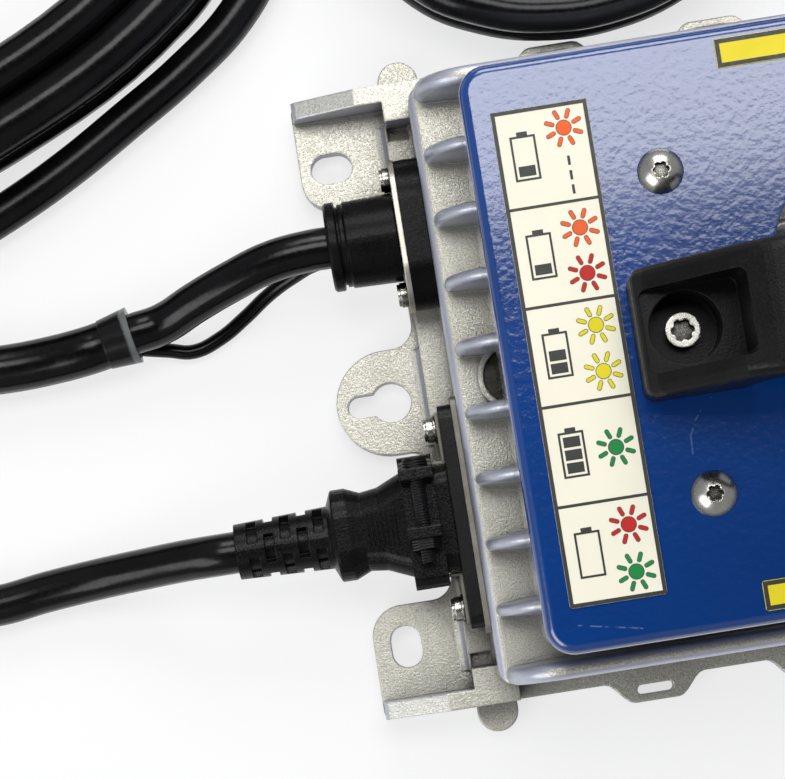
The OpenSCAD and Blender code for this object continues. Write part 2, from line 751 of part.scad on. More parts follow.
// A thin printed label lying on the cover, between two corners
module label(x0, x1, y0, y1) {
    color([0.94, 0.92, 0.82]) translate([(x0 + x1)/2, (y0 + y1)/2, cover_top_z])
        linear_extrude(0.25) round_rect(x1 - x0, y1 - y0, 0.5);
}

module status_label() {
    label(-cover_l/2 + 5.6, -cover_l/2 + 25.2, -cover_w/2 + 9.2, cover_w/2 - 10.4);
}

// Plain strips along the rear and front edges of the cover
strip_w = 6;
strip_edge = 2.7;
rear_strip_l = cover_l - 104.8;
front_strip_l = cover_l - 88;

module rear_label() {
    label(-rear_strip_l/2, rear_strip_l/2, cover_w/2 - strip_edge - strip_w, cover_w/2 - strip_edge);
}

module front_label() {
    label(-front_strip_l/2, front_strip_l/2, -cover_w/2 + strip_edge, -cover_w/2 + strip_edge + strip_w);
}

module status_window() {
    color([0.30, 0.29, 0.16]) translate([window_x, 0, deck_z - window_deep])
        cylinder(r = window_r - bore_gap, h = window_t);
}

module status_led() {
    led_r = 2.5;
    color([0.2, 0.7, 0.3]) translate([window_x, 0, 0]) {
        translate([0, 0, deck_z - window_deep - led_r]) cylinder(r = led_r, h = led_r);
        translate([0, 0, board_z]) cylinder(r = led_r, h = deck_z - window_deep - led_r - board_z);
    }
}

// Outline of the oval gland flange, in the plane across X
module gland2d(l, h) {
    slot2d(l, h);
}

// Grooved boot and oval flange moulded as one, with its neck through the end wall
module dc_gland_boot() {
    color(rubber_black) translate([0, gland_y, port_z]) difference() {
        union() {
            translate([boot_x, 0, 0]) across_x() linear_extrude(gland_t) gland2d(gland_l, gland_h);
            translate([boot_x, 0, 0]) rotate([0, -90, 0]) rotate_extrude() polygon([
                [0, 0], [boot_d/2 - plate_grip, 0], [boot_d/2 - plate_grip, gland_plate_t + fit],
                [boot_d/2, gland_plate_t + fit], [boot_d/2 - 0.3, boot_l - 4.4],
                [boot_d/2 - 0.7, boot_l - 4.1],
                [boot_d/2 - 0.7, boot_l - 3.1], [boot_d/2 - 1.2, boot_l - 3.1],
                [boot_d/2 - 1.2, boot_l - 2.5], [boot_d/2 - 0.3, boot_l - 2.5],
                [boot_d/2, boot_l - 2.2], [boot_d/2, boot_l - 0.5], [boot_d/2 - 0.5, boot_l], [0, boot_l]]);
            translate([wall_x - 1, 0, 0]) rotate([0, 90, 0]) cylinder(d = gland_neck_d, h = wall_t + 3);
        }
        for (s = [-1, 1]) translate([boot_x - 1, s*gland_screw_gap/2, 0]) rotate([0, 90, 0])
            cylinder(d = m3 + 2*bore_gap, h = gland_t + 2);
    }
}

module dc_gland_plate() {
    color(brass) translate([boot_x - gland_plate_t, gland_y, port_z]) across_x()
        linear_extrude(gland_plate_t) difference() {
            gland2d(gland_l + 0.6, gland_h + 0.2);
            circle(boot_d/2 - plate_grip + fit);
            for (s = [-1, 1]) translate([s*gland_screw_gap/2, 0]) circle(m3/2 + 0.2);
        }
}

// Pan-head screw along +X, its head's underside at x = 0, with a cross recess
module pan_screw(l, d = m3) {
    rotate([0, 90, 0]) difference() {
        union() {
            translate([0, 0, -pan_h]) cylinder(d = pan_d - 0.6, h = pan_h);
            translate([0, 0, -pan_h + 0.6]) cylinder(d = pan_d, h = pan_h - 0.6);
            cylinder(d = d, h = l);
        }
        for (a = [0, 90]) rotate(a) translate([-1.6, -0.3, -pan_h - 0.5]) cube([3.2, 0.6, 1.5]);
    }
}

module dc_gland_screws() {
    color(steel) for (s = [-1, 1])
        translate([boot_x - gland_plate_t, gland_y + s*gland_screw_gap/2, port_z])
            pan_screw(gland_t + gland_plate_t + wall_t - 2);
}

module inlet_plate() {
    color(steel) translate([wall_x - inlet_plate_t, inlet_y, port_z]) across_x()
        linear_extrude(inlet_plate_t) difference() {
            round_rect(inlet_l + 3, inlet_h, 2);
            inlet_hole2d();
            for (s = [-1, 1]) translate([s*inlet_screw_gap/2, 0]) circle(m3/2 + 0.2);
        }
}

// Mains inlet: flange, body behind the wall, and the recess that the connector plugs into
module ac_inlet() {
    color(black_plastic) translate([inlet_face_x, inlet_y, port_z]) difference() {
        union() {
            across_x() linear_extrude(inlet_t) round_rect(inlet_l, inlet_h, 3);
            across_x() linear_extrude(inlet_t + inlet_body_l) round_rect(inlet_body_w, inlet_body_h, 2.2);
        }
        translate([-1, 0, 0]) across_x() linear_extrude(recess_deep + 1)
            round_rect(recess_w, recess_h, 1.5);
        for (s = [-1, 1]) translate([-1, s*inlet_screw_gap/2, 0]) rotate([0, 90, 0])
            cylinder(d = m3 + 0.4, h = inlet_t + 2);
        for (p = pin_yz) translate([0, p[0], p[1]]) cube([80, pin_w, pin_h], center = true);
    }
}

// Places and section of the three contact blades
pin_w = 2;
pin_h = 4;
pin_yz = [[-7, -1.6], [0, 1.6], [7, -1.6]];
pin_l = 11.5;
pin_tail = 5;

module inlet_pins() {
    color(brass) translate([inlet_face_x + recess_deep - pin_l, inlet_y, port_z]) for (p = pin_yz)
        translate([0, p[0] - pin_w/2, p[1] - pin_h/2])
            cube([pin_l + inlet_t + inlet_body_l - recess_deep + pin_tail, pin_w, pin_h]);
}

bracket_t = 0.8;
bracket_w = 8;
clamp_x0 = inlet_face_x - 10.5;
clamp_l = 7.5;
clamp_wall = 1.6;
clamp_in_w = plug_front_w + 2*bracket_t + 0.4;
clamp_in_h = plug_front_h + 0.4;
clamp_lug_h = 8;
clamp_lug_t = 2.4;
clamp_screw_z = port_z + clamp_in_h/2 + clamp_wall + 4;
clamp_lug_y = [inlet_y - 2.4, inlet_y + 10.4];

// Two bent sheet arms, each held under an inlet screw and reaching back to the clamp
module inlet_bracket() {
    arm_y = plug_front_w/2;
    color(steel) translate([inlet_face_x, inlet_y, port_z - bracket_w/2]) both_sides() difference() {
        union() {
            translate([-bracket_t, arm_y, 0])
                cube([bracket_t, inlet_screw_gap/2 + 3.4 - arm_y, bracket_w]);
            translate([clamp_x0 - inlet_face_x, arm_y, 0])
                cube([inlet_face_x - clamp_x0, bracket_t, bracket_w]);
        }
        translate([-1 - bracket_t, inlet_screw_gap/2, bracket_w/2]) rotate([0, 90, 0])
            cylinder(d = m3 + 0.4, h = 3);
    }
}

module inlet_screws() {
    color(steel) for (s = [-1, 1])
        translate([inlet_face_x - bracket_t - washer_t, inlet_y + s*inlet_screw_gap/2, port_z]) {
            rotate([0, 90, 0]) cylinder(d = 6.4, h = washer_t);
            pan_screw(inlet_t + inlet_plate_t + bracket_t + washer_t + wall_t - 2);
        }
}

// Strap round the connector, with two lugs on top for its screw
module cord_clamp() {
    color(black_plastic) difference() {
        union() {
            translate([clamp_x0, inlet_y, port_z]) across_x() linear_extrude(clamp_l) difference() {
                round_rect(clamp_in_w + 2*clamp_wall, clamp_in_h + 2*clamp_wall, 2.6);
                round_rect(clamp_in_w, clamp_in_h, 1.4);
            }
            for (y = clamp_lug_y) translate([clamp_x0, y - clamp_lug_t/2, port_z + clamp_in_h/2 + 0.5])
                cube([clamp_l, clamp_lug_t, clamp_lug_h]);
        }
        translate([clamp_x0 + clamp_l/2, clamp_lug_y[0] - 5, clamp_screw_z]) rotate([-90, 0, 0])
            cylinder(d = m3 + 0.3, h = 30);
    }
}

module clamp_screw() {
    color(steel) translate([clamp_x0 + clamp_l/2, clamp_lug_y[1] + clamp_lug_t/2, clamp_screw_z])
        rotate([0, 0, -90]) pan_screw(20.5);
}

module clamp_nut() {
    color(steel) translate([clamp_x0 + clamp_l/2, clamp_lug_y[0] - clamp_lug_t/2, clamp_screw_z])
        rotate([90, 0, 0]) difference() {
            cylinder(d = 6.2, h = 2.4, $fn = 6);
            translate([0, 0, -1]) cylinder(d = m3 + 2*bore_gap, h = 5);
        }
}

// A slab of the moulded connector: its place along X and its size across
module slab(x, w, h, r, t = 0.6) {
    translate([x, inlet_y, port_z]) across_x() linear_extrude(t) round_rect(w, h, r, $fn = 32);
}

// Depth of the connector's body at a distance down from the inlet's face
function grip_h(d) = plug_front_h + (neck_h - plug_front_h)*max(0, d - flare_d[0])/(neck_d - flare_d[0]);

// Moulded connector: nose, waisted grip with ribs, collar and slotted strain relief in one piece
module ac_connector() {
    x0 = inlet_face_x;
    color(black_plastic) difference() {
        union() {
            translate([x0, inlet_y, port_z]) across_x() linear_extrude(recess_deep - 0.5)
                round_rect(recess_w - 2*fit, recess_h - 2*fit, 1.2);
            hull() {
                slab(x0 - 0.6, plug_front_w, plug_front_h, 4);
                slab(x0 - flare_d[0], flare_w[0], plug_front_h, 5);
            }
            for (i = [0:2]) hull() {
                slab(x0 - flare_d[i], flare_w[i], grip_h(flare_d[i]), 5);
                slab(x0 - flare_d[i + 1], flare_w[i + 1], grip_h(flare_d[i + 1]), 5);
            }
            hull() {
                slab(x0 - neck_d - 0.6, neck_w, neck_h, 5.5, 0.9);
                slab(x0 - collar_d, collar_w, collar_h, 6.5, collar_l);
            }
            hull() {
                slab(x0 - collar_d - 0.2, collar_w - 0.6, collar_h - 0.6, 6.5);
                slab(x0 - relief_d, 14.6, 14.4, 7);
            }
            translate([x0 - relief_d + 0.4, inlet_y, port_z]) rotate([0, -90, 0])
                cylinder(d1 = relief_w[0], d2 = relief_w[1], h = x0 - relief_d + 0.4 - relief_end_x);
            for (i = [0:rib_n - 1])
                grip_rib(x0 - rib_d - i*rib_pitch, grip_h(rib_d + i*rib_pitch), 8.4 - 0.2*i);
        }
        translate([x0 + recess_deep, inlet_y, port_z]) for (p = pin_yz)
            translate([-1, p[0], p[1]]) cube([2*pin_l, pin_w + 2*fit, pin_h + 2*fit], center = true);
        for (i = [0:4]) translate([x0 - relief_d - 2.1 - i*slot_pitch, inlet_y, port_z])
            relief_slots(18 + 45*(i % 2));
    }
}

// Rib across the top and bottom of the grip, w wide, where the grip is h deep
module grip_rib(x, h, w) {
    translate([x - 0.25, inlet_y - w/2, port_z - h/2 - 0.4]) cube([0.5, w, h + 0.8]);
}

// Four slots round the strain relief, turned by an angle, cut down to its core
module relief_slots(turn) {
    rotate([0, 90, 0]) for (a = [0:90:270]) rotate(a + turn) rotate_extrude(angle = 60, $fn = 48)
        translate([relief_core_r, -1.1]) square([4, 2.2]);
}

module ac_cord() {
    color(rubber_black) tube(ac_route, ac_d);
}

// Straight length of cord of diameter d between two points
module rod(a, b, d) {
    v = b - a;
    translate(a) rotate([0, acos(v[2]/norm(v)), atan2(v[1], v[0])]) cylinder(d = d, h = norm(v));
}

// Coil of the mains cord, two turns wide and two high, with the stretch that runs into it
module ac_coil() {
    p = ac_route[len(ac_route) - 1];
    t = travel(ac_route, len(ac_route) - 1);
    color(rubber_black) difference() {
        union() {
            translate(ac_c) rotate_extrude($fn = 96) translate([ac_in_r, 0])
                square([ac_out_r - ac_in_r, ac_coil_h]);
            rod(p, p + 25*t, ac_d - fit);
        }
        tie_band(ac_c, ac_tie_a, ac_in_r, ac_out_r, ac_coil_h, 0.001);
    }
}

// Band of a cable tie round a coil's section, at an angle round the coil's centre
tie_t = 1.1;
tie_w = 4.8;
ac_tie_a = 35;
dc_tie_a = 75;
module tie_band(c, a, r0, r1, h, grow) {
    translate([c[0], c[1], 0]) rotate(a) translate([(r0 + r1)/2, tie_w/2 + grow, h/2]) rotate([90, 0, 0])
        linear_extrude(tie_w + 2*grow) difference() {
            square([r1 - r0 + 2*grow, h + 2*grow], center = true);
            square([r1 - r0 - 2*tie_t, h - 2*tie_t], center = true);
        }
}

// Cable tie: the band and its square head standing outside the coil
module tie(c, a, r0, r1, h) {
    color([0.1, 0.1, 0.1]) {
        tie_band(c, a, r0, r1, h, 0);
        translate([c[0], c[1], 0]) rotate(a) translate([r1, -3.6, h/2 - 3]) cube([4, 7.2, 6]);
    }
}

module ac_tie() {
    tie(ac_c, ac_tie_a, ac_in_r, ac_out_r, ac_coil_h);
}

module ac_tail() {
    color(rubber_black) tube(ac_tail_route, ac_d);
}

// Frame of the mains plug: at the end of the tail, its length along +X
module at_plug() {
    translate(round_c(ac_c, ac_tail_r, 90, ac_coil_h)) children();
}

plug_body_l = 30;
plug_relief_l = 14;
plug_h = 19;

module ac_plug() {
    color(black_plastic) at_plug() {
        hull() {
            translate([0, 0, ac_z]) rotate([0, 90, 0]) cylinder(d = ac_d, h = 1);
            translate([plug_relief_l, 0, plug_h/2 - 2]) rotate([0, 90, 0]) cylinder(d = 12, h = 1);
        }
        hull() {
            translate([plug_relief_l, 0, plug_h/2]) across_x() linear_extrude(1)
                round_rect(14, 13, 5, $fn = 24);
            translate([plug_relief_l + 12, 0, plug_h/2]) across_x() linear_extrude(plug_body_l - 12)
                round_rect(25, plug_h, 4, $fn = 24);
        }
    }
}

module plug_pins() {
    color(brass) at_plug() translate([plug_relief_l + plug_body_l, 0, plug_h/2]) {
        for (s = [-1, 1]) translate([0, s*6.35 - 0.75, 0]) cube([16, 1.5, 6.3]);
        translate([0, 0, -4.2]) rotate([0, 90, 0]) cylinder(d = 4.8, h = 19);
    }
}

module dc_cable() {
    color(rubber_black) tube(dc_route, dc_d);
}

// Shrunk end of the sleeve, round the cable and the wire
module sleeve_end() {
    color(rubber_black) translate(mouth) rotate([0, 90, mouth_dir])
        cylinder(d1 = sleeve_d + 2, d2 = sleeve_d + 0.3, h = mouth_l);
}

module dc_sleeve() {
    color(rubber_black) tube(sleeve_route, sleeve_d);
}

module sense_wire() {
    color(rubber_black) tube(wire_route, wire_d, 8);
}

// Oval round the two centres of the battery lead's coil, at an offset radius
function oval(r, n = 32) = [for (end = [[dc_c1, dc_dir + 90], [dc_c2, dc_dir - 90]]) for (i = [0:n])
    end[0] + r*[cos(end[1] + 180*i/n), sin(end[1] + 180*i/n)]];

module dc_coil() {
    p = sleeve_route[len(sleeve_route) - 1];
    t = travel(sleeve_route, len(sleeve_route) - 1);
    color(rubber_black) difference() {
        union() {
            linear_extrude(dc_coil_h) difference() {
                polygon(oval(dc_out_r));
                polygon(oval(dc_in_r));
            }
            rod(p, p + 35*t, sleeve_d - fit);
        }
        tie_band(dc_c2, dc_tie_a, dc_in_r, dc_out_r, dc_coil_h, 0.001);
    }
}

module dc_tie() {
    tie(dc_c2, dc_tie_a, dc_in_r, dc_out_r, dc_coil_h);
}

module dc_tail() {
    color(rubber_black) tube(dc_tail_route, sleeve_d);
}

// Frame of the battery connector: at the end of the tail, its length along +X
module at_dc_connector() {
    translate(round_c(dc_c2, dc_tail_r, 90, dc_coil_h)) children();
}

conn_l = 46;
conn_w = 32;
conn_h = 17;
conn_bore = 11;

// Two-pole battery connector with a cable collar and two open sockets
module dc_connector() {
    color([0.16, 0.16, 0.17]) at_dc_connector() difference() {
        union() {
            translate([0, 0, conn_h/2]) across_x() linear_extrude(10) round_rect(20, conn_h - 2, 5);
            translate([8, 0, conn_h/2]) across_x() linear_extrude(conn_l - 8)
                round_rect(conn_w, conn_h, 2);
            for (s = [-1, 1]) translate([20, s*(conn_w/2 + 0.9) - 1.1, conn_h/2 - 4]) cube([18, 2.2, 8]);
        }
        for (s = [-1, 1]) translate([conn_l - 18, s*8, conn_h/2]) across_x()
            linear_extrude(20) round_rect(conn_bore, conn_bore, 1.4);
    }
}

module dc_contacts() {
    color(brass) at_dc_connector() for (s = [-1, 1])
        translate([conn_l - 18, s*8 - 3.4, conn_h/2 - 1.2]) cube([8, 6.8, 2.4]);
}

module circuit_board() {
    color(board_green) difference() {
        translate([board_x, 0, board_z]) linear_extrude(board_t) round_rect(board_l, board_w, 2);
        for (p = stand_xy) translate([p[0], p[1], board_z - 1]) cylinder(d = m3 + 0.4, h = 4);
    }
    color(board_green) translate([window_x - 5, -7, board_z - board_t]) cube([board_x + 18, 14, board_t]);
}

module board_screws() {
    color(steel) for (p = stand_xy) translate([p[0], p[1], board_z]) rotate([0, -90, 0]) pan_screw(8);
}

// Places of the power parts on the board
power_y = board_w/2 - 30;
pad_l = board_l/2 - 15;
pad_x = board_x + board_l/2 - 1 - pad_l;
cap_x = board_x - board_l/2 + 29;
cap_d = 18;
cap_h = 18.6;
cap_pitch = cap_d + 4;
choke_r = 11;
choke_wire = 6.9;
core_x = -20;
core_l = 34;
core_w = 30;
core_h = 18;

module transformer_core() {
    color([0.2, 0.2, 0.22]) translate([core_x, -20, board_top]) difference() {
        translate([-core_l/2, -core_w/2, 0]) cube([core_l, core_w, core_h]);
        for (s = [-1, 1]) translate([s*9.5 - 4, -core_w/2 - 1, 4]) cube([8, core_w + 2, core_h - 8]);
    }
}

module transformer_winding() {
    color([0.75, 0.42, 0.2]) translate([core_x, -20, board_top + 4.3]) linear_extrude(core_h - 8.6)
        difference() {
            round_rect(26.4, core_w + 14, 3);
            square([11.6, core_w + 0.6], center = true);
        }
}

module output_choke() {
    color([0.72, 0.45, 0.2]) translate([board_x + board_l/2 - 61, 26 - board_w/2, board_top]) rotate_extrude()
        translate([choke_r, choke_wire + 0.1]) circle(choke_wire);
}

module bulk_capacitors() {
    color([0.15, 0.2, 0.35]) for (i = [0:2]) translate([cap_x + i*cap_pitch, power_y + 4, board_top])
        cylinder(d = cap_d, h = cap_h);
}

module power_transistors() {
    color([0.15, 0.15, 0.15]) for (i = [0:5]) translate([pad_x + 2 + i*(pad_l - 15)/5, power_y, board_top]) {
        translate([0, 0, 4]) cube([9, 5, deck_under - 1 - board_top - 4]);
        for (k = [0:2]) translate([1.4 + k*2.6, 2, 0]) cube([0.8, 0.8, 4.5]);
    }
}

module heat_pad() {
    color([0.85, 0.85, 0.9]) translate([pad_x, power_y - 3, deck_under - 1]) cube([pad_l, 11, 1]);
}

heatsink_housing();
base_gasket();
base_plate();
base_screws();
top_cover();
cover_screws();
carry_handle();
handle_screws();
status_label();
rear_label();
front_label();
status_window();
status_led();
dc_gland_boot();
dc_gland_plate();
dc_gland_screws();
ac_inlet();
inlet_pins();
inlet_plate();
inlet_screws();
inlet_bracket();
cord_clamp();
clamp_screw();
clamp_nut();
ac_connector();
ac_cord();
ac_coil();
ac_tail();
ac_plug();
plug_pins();
ac_tie();
dc_cable();
sleeve_end();
dc_sleeve();
sense_wire();
dc_coil();
dc_tail();
dc_connector();
dc_contacts();
dc_tie();
circuit_board();
board_screws();
transformer_core();
transformer_winding();
output_choke();
bulk_capacitors();
power_transistors();
heat_pad();
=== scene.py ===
"""Looks of a sealed golf cart charger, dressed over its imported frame.

The frame gives every solid in metres: +X along the charger away from its connectors, +Y across it and
+Z up from its mounting face. This file places the camera, lays the cords, prints the labels and gives
each piece its finish.
"""

from __future__ import annotations

import json
import logging
import math
from dataclasses import dataclass
from enum import Enum
from typing import Any, Optional, Sequence

import bpy
import numpy as np
from mathutils import Matrix, Vector

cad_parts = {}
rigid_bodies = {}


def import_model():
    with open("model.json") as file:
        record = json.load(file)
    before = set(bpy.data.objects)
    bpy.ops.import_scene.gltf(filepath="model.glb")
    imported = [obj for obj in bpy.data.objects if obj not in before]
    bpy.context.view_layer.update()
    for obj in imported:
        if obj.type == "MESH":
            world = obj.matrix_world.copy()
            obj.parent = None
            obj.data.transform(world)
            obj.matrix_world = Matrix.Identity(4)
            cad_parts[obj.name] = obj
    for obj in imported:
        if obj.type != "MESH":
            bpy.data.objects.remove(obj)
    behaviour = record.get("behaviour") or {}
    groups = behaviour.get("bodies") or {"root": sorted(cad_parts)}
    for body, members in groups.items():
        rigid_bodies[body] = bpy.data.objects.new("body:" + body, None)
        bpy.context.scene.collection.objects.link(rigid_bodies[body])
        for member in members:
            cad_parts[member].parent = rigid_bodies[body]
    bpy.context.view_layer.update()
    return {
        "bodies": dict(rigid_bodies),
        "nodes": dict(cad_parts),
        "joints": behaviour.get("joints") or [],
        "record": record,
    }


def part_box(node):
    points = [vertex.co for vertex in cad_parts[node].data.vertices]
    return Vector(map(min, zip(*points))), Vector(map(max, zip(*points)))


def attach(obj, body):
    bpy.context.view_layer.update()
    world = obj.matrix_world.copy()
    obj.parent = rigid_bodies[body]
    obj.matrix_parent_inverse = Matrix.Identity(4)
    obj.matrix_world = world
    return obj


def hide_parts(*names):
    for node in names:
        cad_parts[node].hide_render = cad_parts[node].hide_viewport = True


LOG = logging.getLogger("charger")
MM = 0.001
MOUTH = (-177.4, 24.2, 7.2)
MOUTH_HEADING = 190.0
NOISE_LOW, NOISE_HIGH = 0.3, 0.7
Array = np.ndarray
Color = tuple[float, float, float]
Point = tuple[float, float, float]
Pair = tuple[float, float]
Frame = dict[str, Any]


def srgb(red: float, green: float, blue: float) -> Color:
    """Linear colour of an 8-bit screen colour.

    Args:
        red: Red, 0 to 255.
        green: Green, 0 to 255.
        blue: Blue, 0 to 255.

    Returns:
        The three linear values.
    """
    values = np.array([red, green, blue]) / 255.0
    linear = np.where(values <= 0.04045, values / 12.92, ((values + 0.055) / 1.055) ** 2.4)
    return (float(linear[0]), float(linear[1]), float(linear[2]))


class Graph:
    """A material's node tree, with short calls for the nodes used here."""

    SAMPLES = 6
    FLAT_DOT = 0.995
    EDGE_DOT = 0.80
    LINE_CORE = 0.3

    def __init__(self, name: str) -> None:
        """Starts a material with an empty principled shader.

        Args:
            name: Name of the material.
        """
        self.material = bpy.data.materials.new(name)
        self.material.use_nodes = True
        self.tree = self.material.node_tree
        self.tree.nodes.clear()
        self.shader = self.add("ShaderNodeBsdfPrincipled")
        output = self.add("ShaderNodeOutputMaterial")
        self.link(self.shader.outputs[0], output.inputs[0])
        self.point = self.add("ShaderNodeTexCoord").outputs["Object"]

    def add(self, kind: str, **values: Any) -> bpy.types.Node:
        """Adds a node and sets its attributes.

        Args:
            kind: Blender's name of the node type.
            **values: Attributes to set on it.

        Returns:
            The node.
        """
        node = self.tree.nodes.new(kind)
        for key, value in values.items():
            setattr(node, key, value)
        return node

    def link(self, source: Any, target: bpy.types.NodeSocket) -> None:
        """Links a socket, or sets a plain value.

        Args:
            source: An output socket, a number or a tuple.
            target: The input socket.
        """
        if isinstance(source, bpy.types.NodeSocket):
            self.tree.links.new(source, target)
        elif isinstance(source, tuple) and len(source) == 3 and target.type == "RGBA":
            target.default_value = (*source, 1.0)
        else:
            target.default_value = source

    def math(self, operation: str, *operands: Any) -> bpy.types.NodeSocket:
        """Math node.

        Args:
            operation: Name of the operation.
            *operands: Sockets or numbers.

        Returns:
            The result's socket.
        """
        node = self.add("ShaderNodeMath", operation=operation)
        for index, operand in enumerate(operands):
            self.link(operand, node.inputs[index])
        return node.outputs[0]

    def mix(self, factor: Any, low: Any, high: Any) -> bpy.types.NodeSocket:
        """Colour mix.

        Args:
            factor: Share of the second colour.
            low: First colour.
            high: Second colour.

        Returns:
            The mixed colour's socket.
        """
        node = self.add("ShaderNodeMix", data_type="RGBA")
        self.link(factor, node.inputs[0])
        self.link(low, node.inputs[6])
        self.link(high, node.inputs[7])
        return node.outputs[2]

    def ramp(self, value: Any, start: float, end: float, low: float = 0.0, high: float = 1.0) -> Any:
        """Smooth step from one value to another.

        Args:
            value: The socket to map.
            start: Input where the output is low.
            end: Input where the output is high.
            low: Output at the start.
            high: Output at the end.

        Returns:
            The result's socket.
        """
        node = self.add("ShaderNodeMapRange", interpolation_type="SMOOTHSTEP")
        for index, item in enumerate((value, start, end, low, high)):
            self.link(item, node.inputs[index])
        return node.outputs[0]

    def noise(self, scale: float, detail: float = 2.0, stretch: Point = (1.0, 1.0, 1.0)) -> Any:
        """Noise in object coordinates.

        Args:
            scale: Cells per metre.
            detail: Octaves.
            stretch: Factor on each axis.

        Returns:
            The value's socket, mostly between NOISE_LOW and NOISE_HIGH.
        """
        vector = self.point
        if stretch != (1.0, 1.0, 1.0):
            mapping = self.add("ShaderNodeMapping")
            self.link(self.point, mapping.inputs[0])
            mapping.inputs["Scale"].default_value = stretch
            vector = mapping.outputs[0]
        node = self.add("ShaderNodeTexNoise")
        self.link(vector, node.inputs["Vector"])
        node.inputs["Scale"].default_value = scale
        node.inputs["Detail"].default_value = detail
        return node.outputs[0]

    def bump(self, height: Any, distance: float, normal: Any = None) -> Any:
        """Bump node.

        Args:
            height: Height's socket.
            distance: Depth in metres of a height of one.
            normal: Normal to start from.

        Returns:
            The normal's socket.
        """
        node = self.add("ShaderNodeBump")
        node.inputs["Strength"].default_value = 1.0
        node.inputs["Distance"].default_value = distance
        self.link(height, node.inputs["Height"])
        if normal is not None:
            self.link(normal, node.inputs["Normal"])
        return node.outputs[0]

    def soft_edges(self, radius: float) -> Any:
        """Normal rounded over the edges.

        Args:
            radius: Radius in metres.

        Returns:
            The normal's socket.
        """
        node = self.add("ShaderNodeBevel", samples=self.SAMPLES)
        node.inputs["Radius"].default_value = radius
        return node.outputs[0]

    def edge_mask(self, soft: Any) -> Any:
        """How near an edge is.

        Args:
            soft: Normal rounded over the edges.

        Returns:
            Socket from 0 on a flat face to 1 on an edge.
        """
        true = self.add("ShaderNodeNewGeometry").outputs["True Normal"]
        dot = self.add("ShaderNodeVectorMath", operation="DOT_PRODUCT")
        self.link(soft, dot.inputs[0])
        self.link(true, dot.inputs[1])
        return self.ramp(dot.outputs["Value"], self.FLAT_DOT, self.EDGE_DOT)

    def openness(self, reach: float) -> Any:
        """How open the space over a point is.

        Args:
            reach: Distance looked at in metres.

        Returns:
            Socket from 0 in a deep corner to 1 in the open.
        """
        node = self.add("ShaderNodeAmbientOcclusion", samples=self.SAMPLES)
        node.inputs["Distance"].default_value = reach
        return node.outputs["AO"]

    def axis(self, index: int, source: Any = None) -> Any:
        """One coordinate of a vector.

        Args:
            index: 0, 1 or 2.
            source: The vector, or the object coordinates.

        Returns:
            The coordinate's socket.
        """
        node = self.add("ShaderNodeSeparateXYZ")
        self.link(self.point if source is None else source, node.inputs[0])
        return node.outputs[index]

    def set(self, **values: Any) -> None:
        """Sets inputs of the principled shader.

        Args:
            **values: Socket names with underscores for spaces, and a socket, number or colour each.
        """
        for key, value in values.items():
            self.link(value, self.shader.inputs[key.replace("_", " ")])

    def segment(self, start: Pair, end: Pair, width: float) -> Any:
        """Mask of a thin line seen from above.

        The distance from a point to the line is the length of what is left of the point after its share
        along the line, kept between the two ends, is taken away.

        Args:
            start: First end in metres.
            end: Second end in metres.
            width: Distance from the line in metres at which the mask ends.

        Returns:
            Socket that is 1 on the line.
        """
        along = Vector((end[0] - start[0], end[1] - start[1], 0.0))
        shift = self.add("ShaderNodeVectorMath", operation="SUBTRACT")
        self.link(self.point, shift.inputs[0])
        shift.inputs[1].default_value = (start[0], start[1], 0.0)
        flat = self.add("ShaderNodeVectorMath", operation="MULTIPLY")
        self.link(shift.outputs[0], flat.inputs[0])
        flat.inputs[1].default_value = (1.0, 1.0, 0.0)
        dot = self.add("ShaderNodeVectorMath", operation="DOT_PRODUCT")
        self.link(flat.outputs[0], dot.inputs[0])
        dot.inputs[1].default_value = along / along.length_squared
        share = self.add("ShaderNodeClamp")
        self.link(dot.outputs["Value"], share.inputs[0])
        base = self.add("ShaderNodeVectorMath", operation="SCALE")
        base.inputs[0].default_value = along
        self.link(share.outputs[0], base.inputs["Scale"])
        gap = self.add("ShaderNodeVectorMath", operation="DISTANCE")
        self.link(flat.outputs[0], gap.inputs[0])
        self.link(base.outputs[0], gap.inputs[1])
        return self.ramp(gap.outputs["Value"], width, width * self.LINE_CORE)


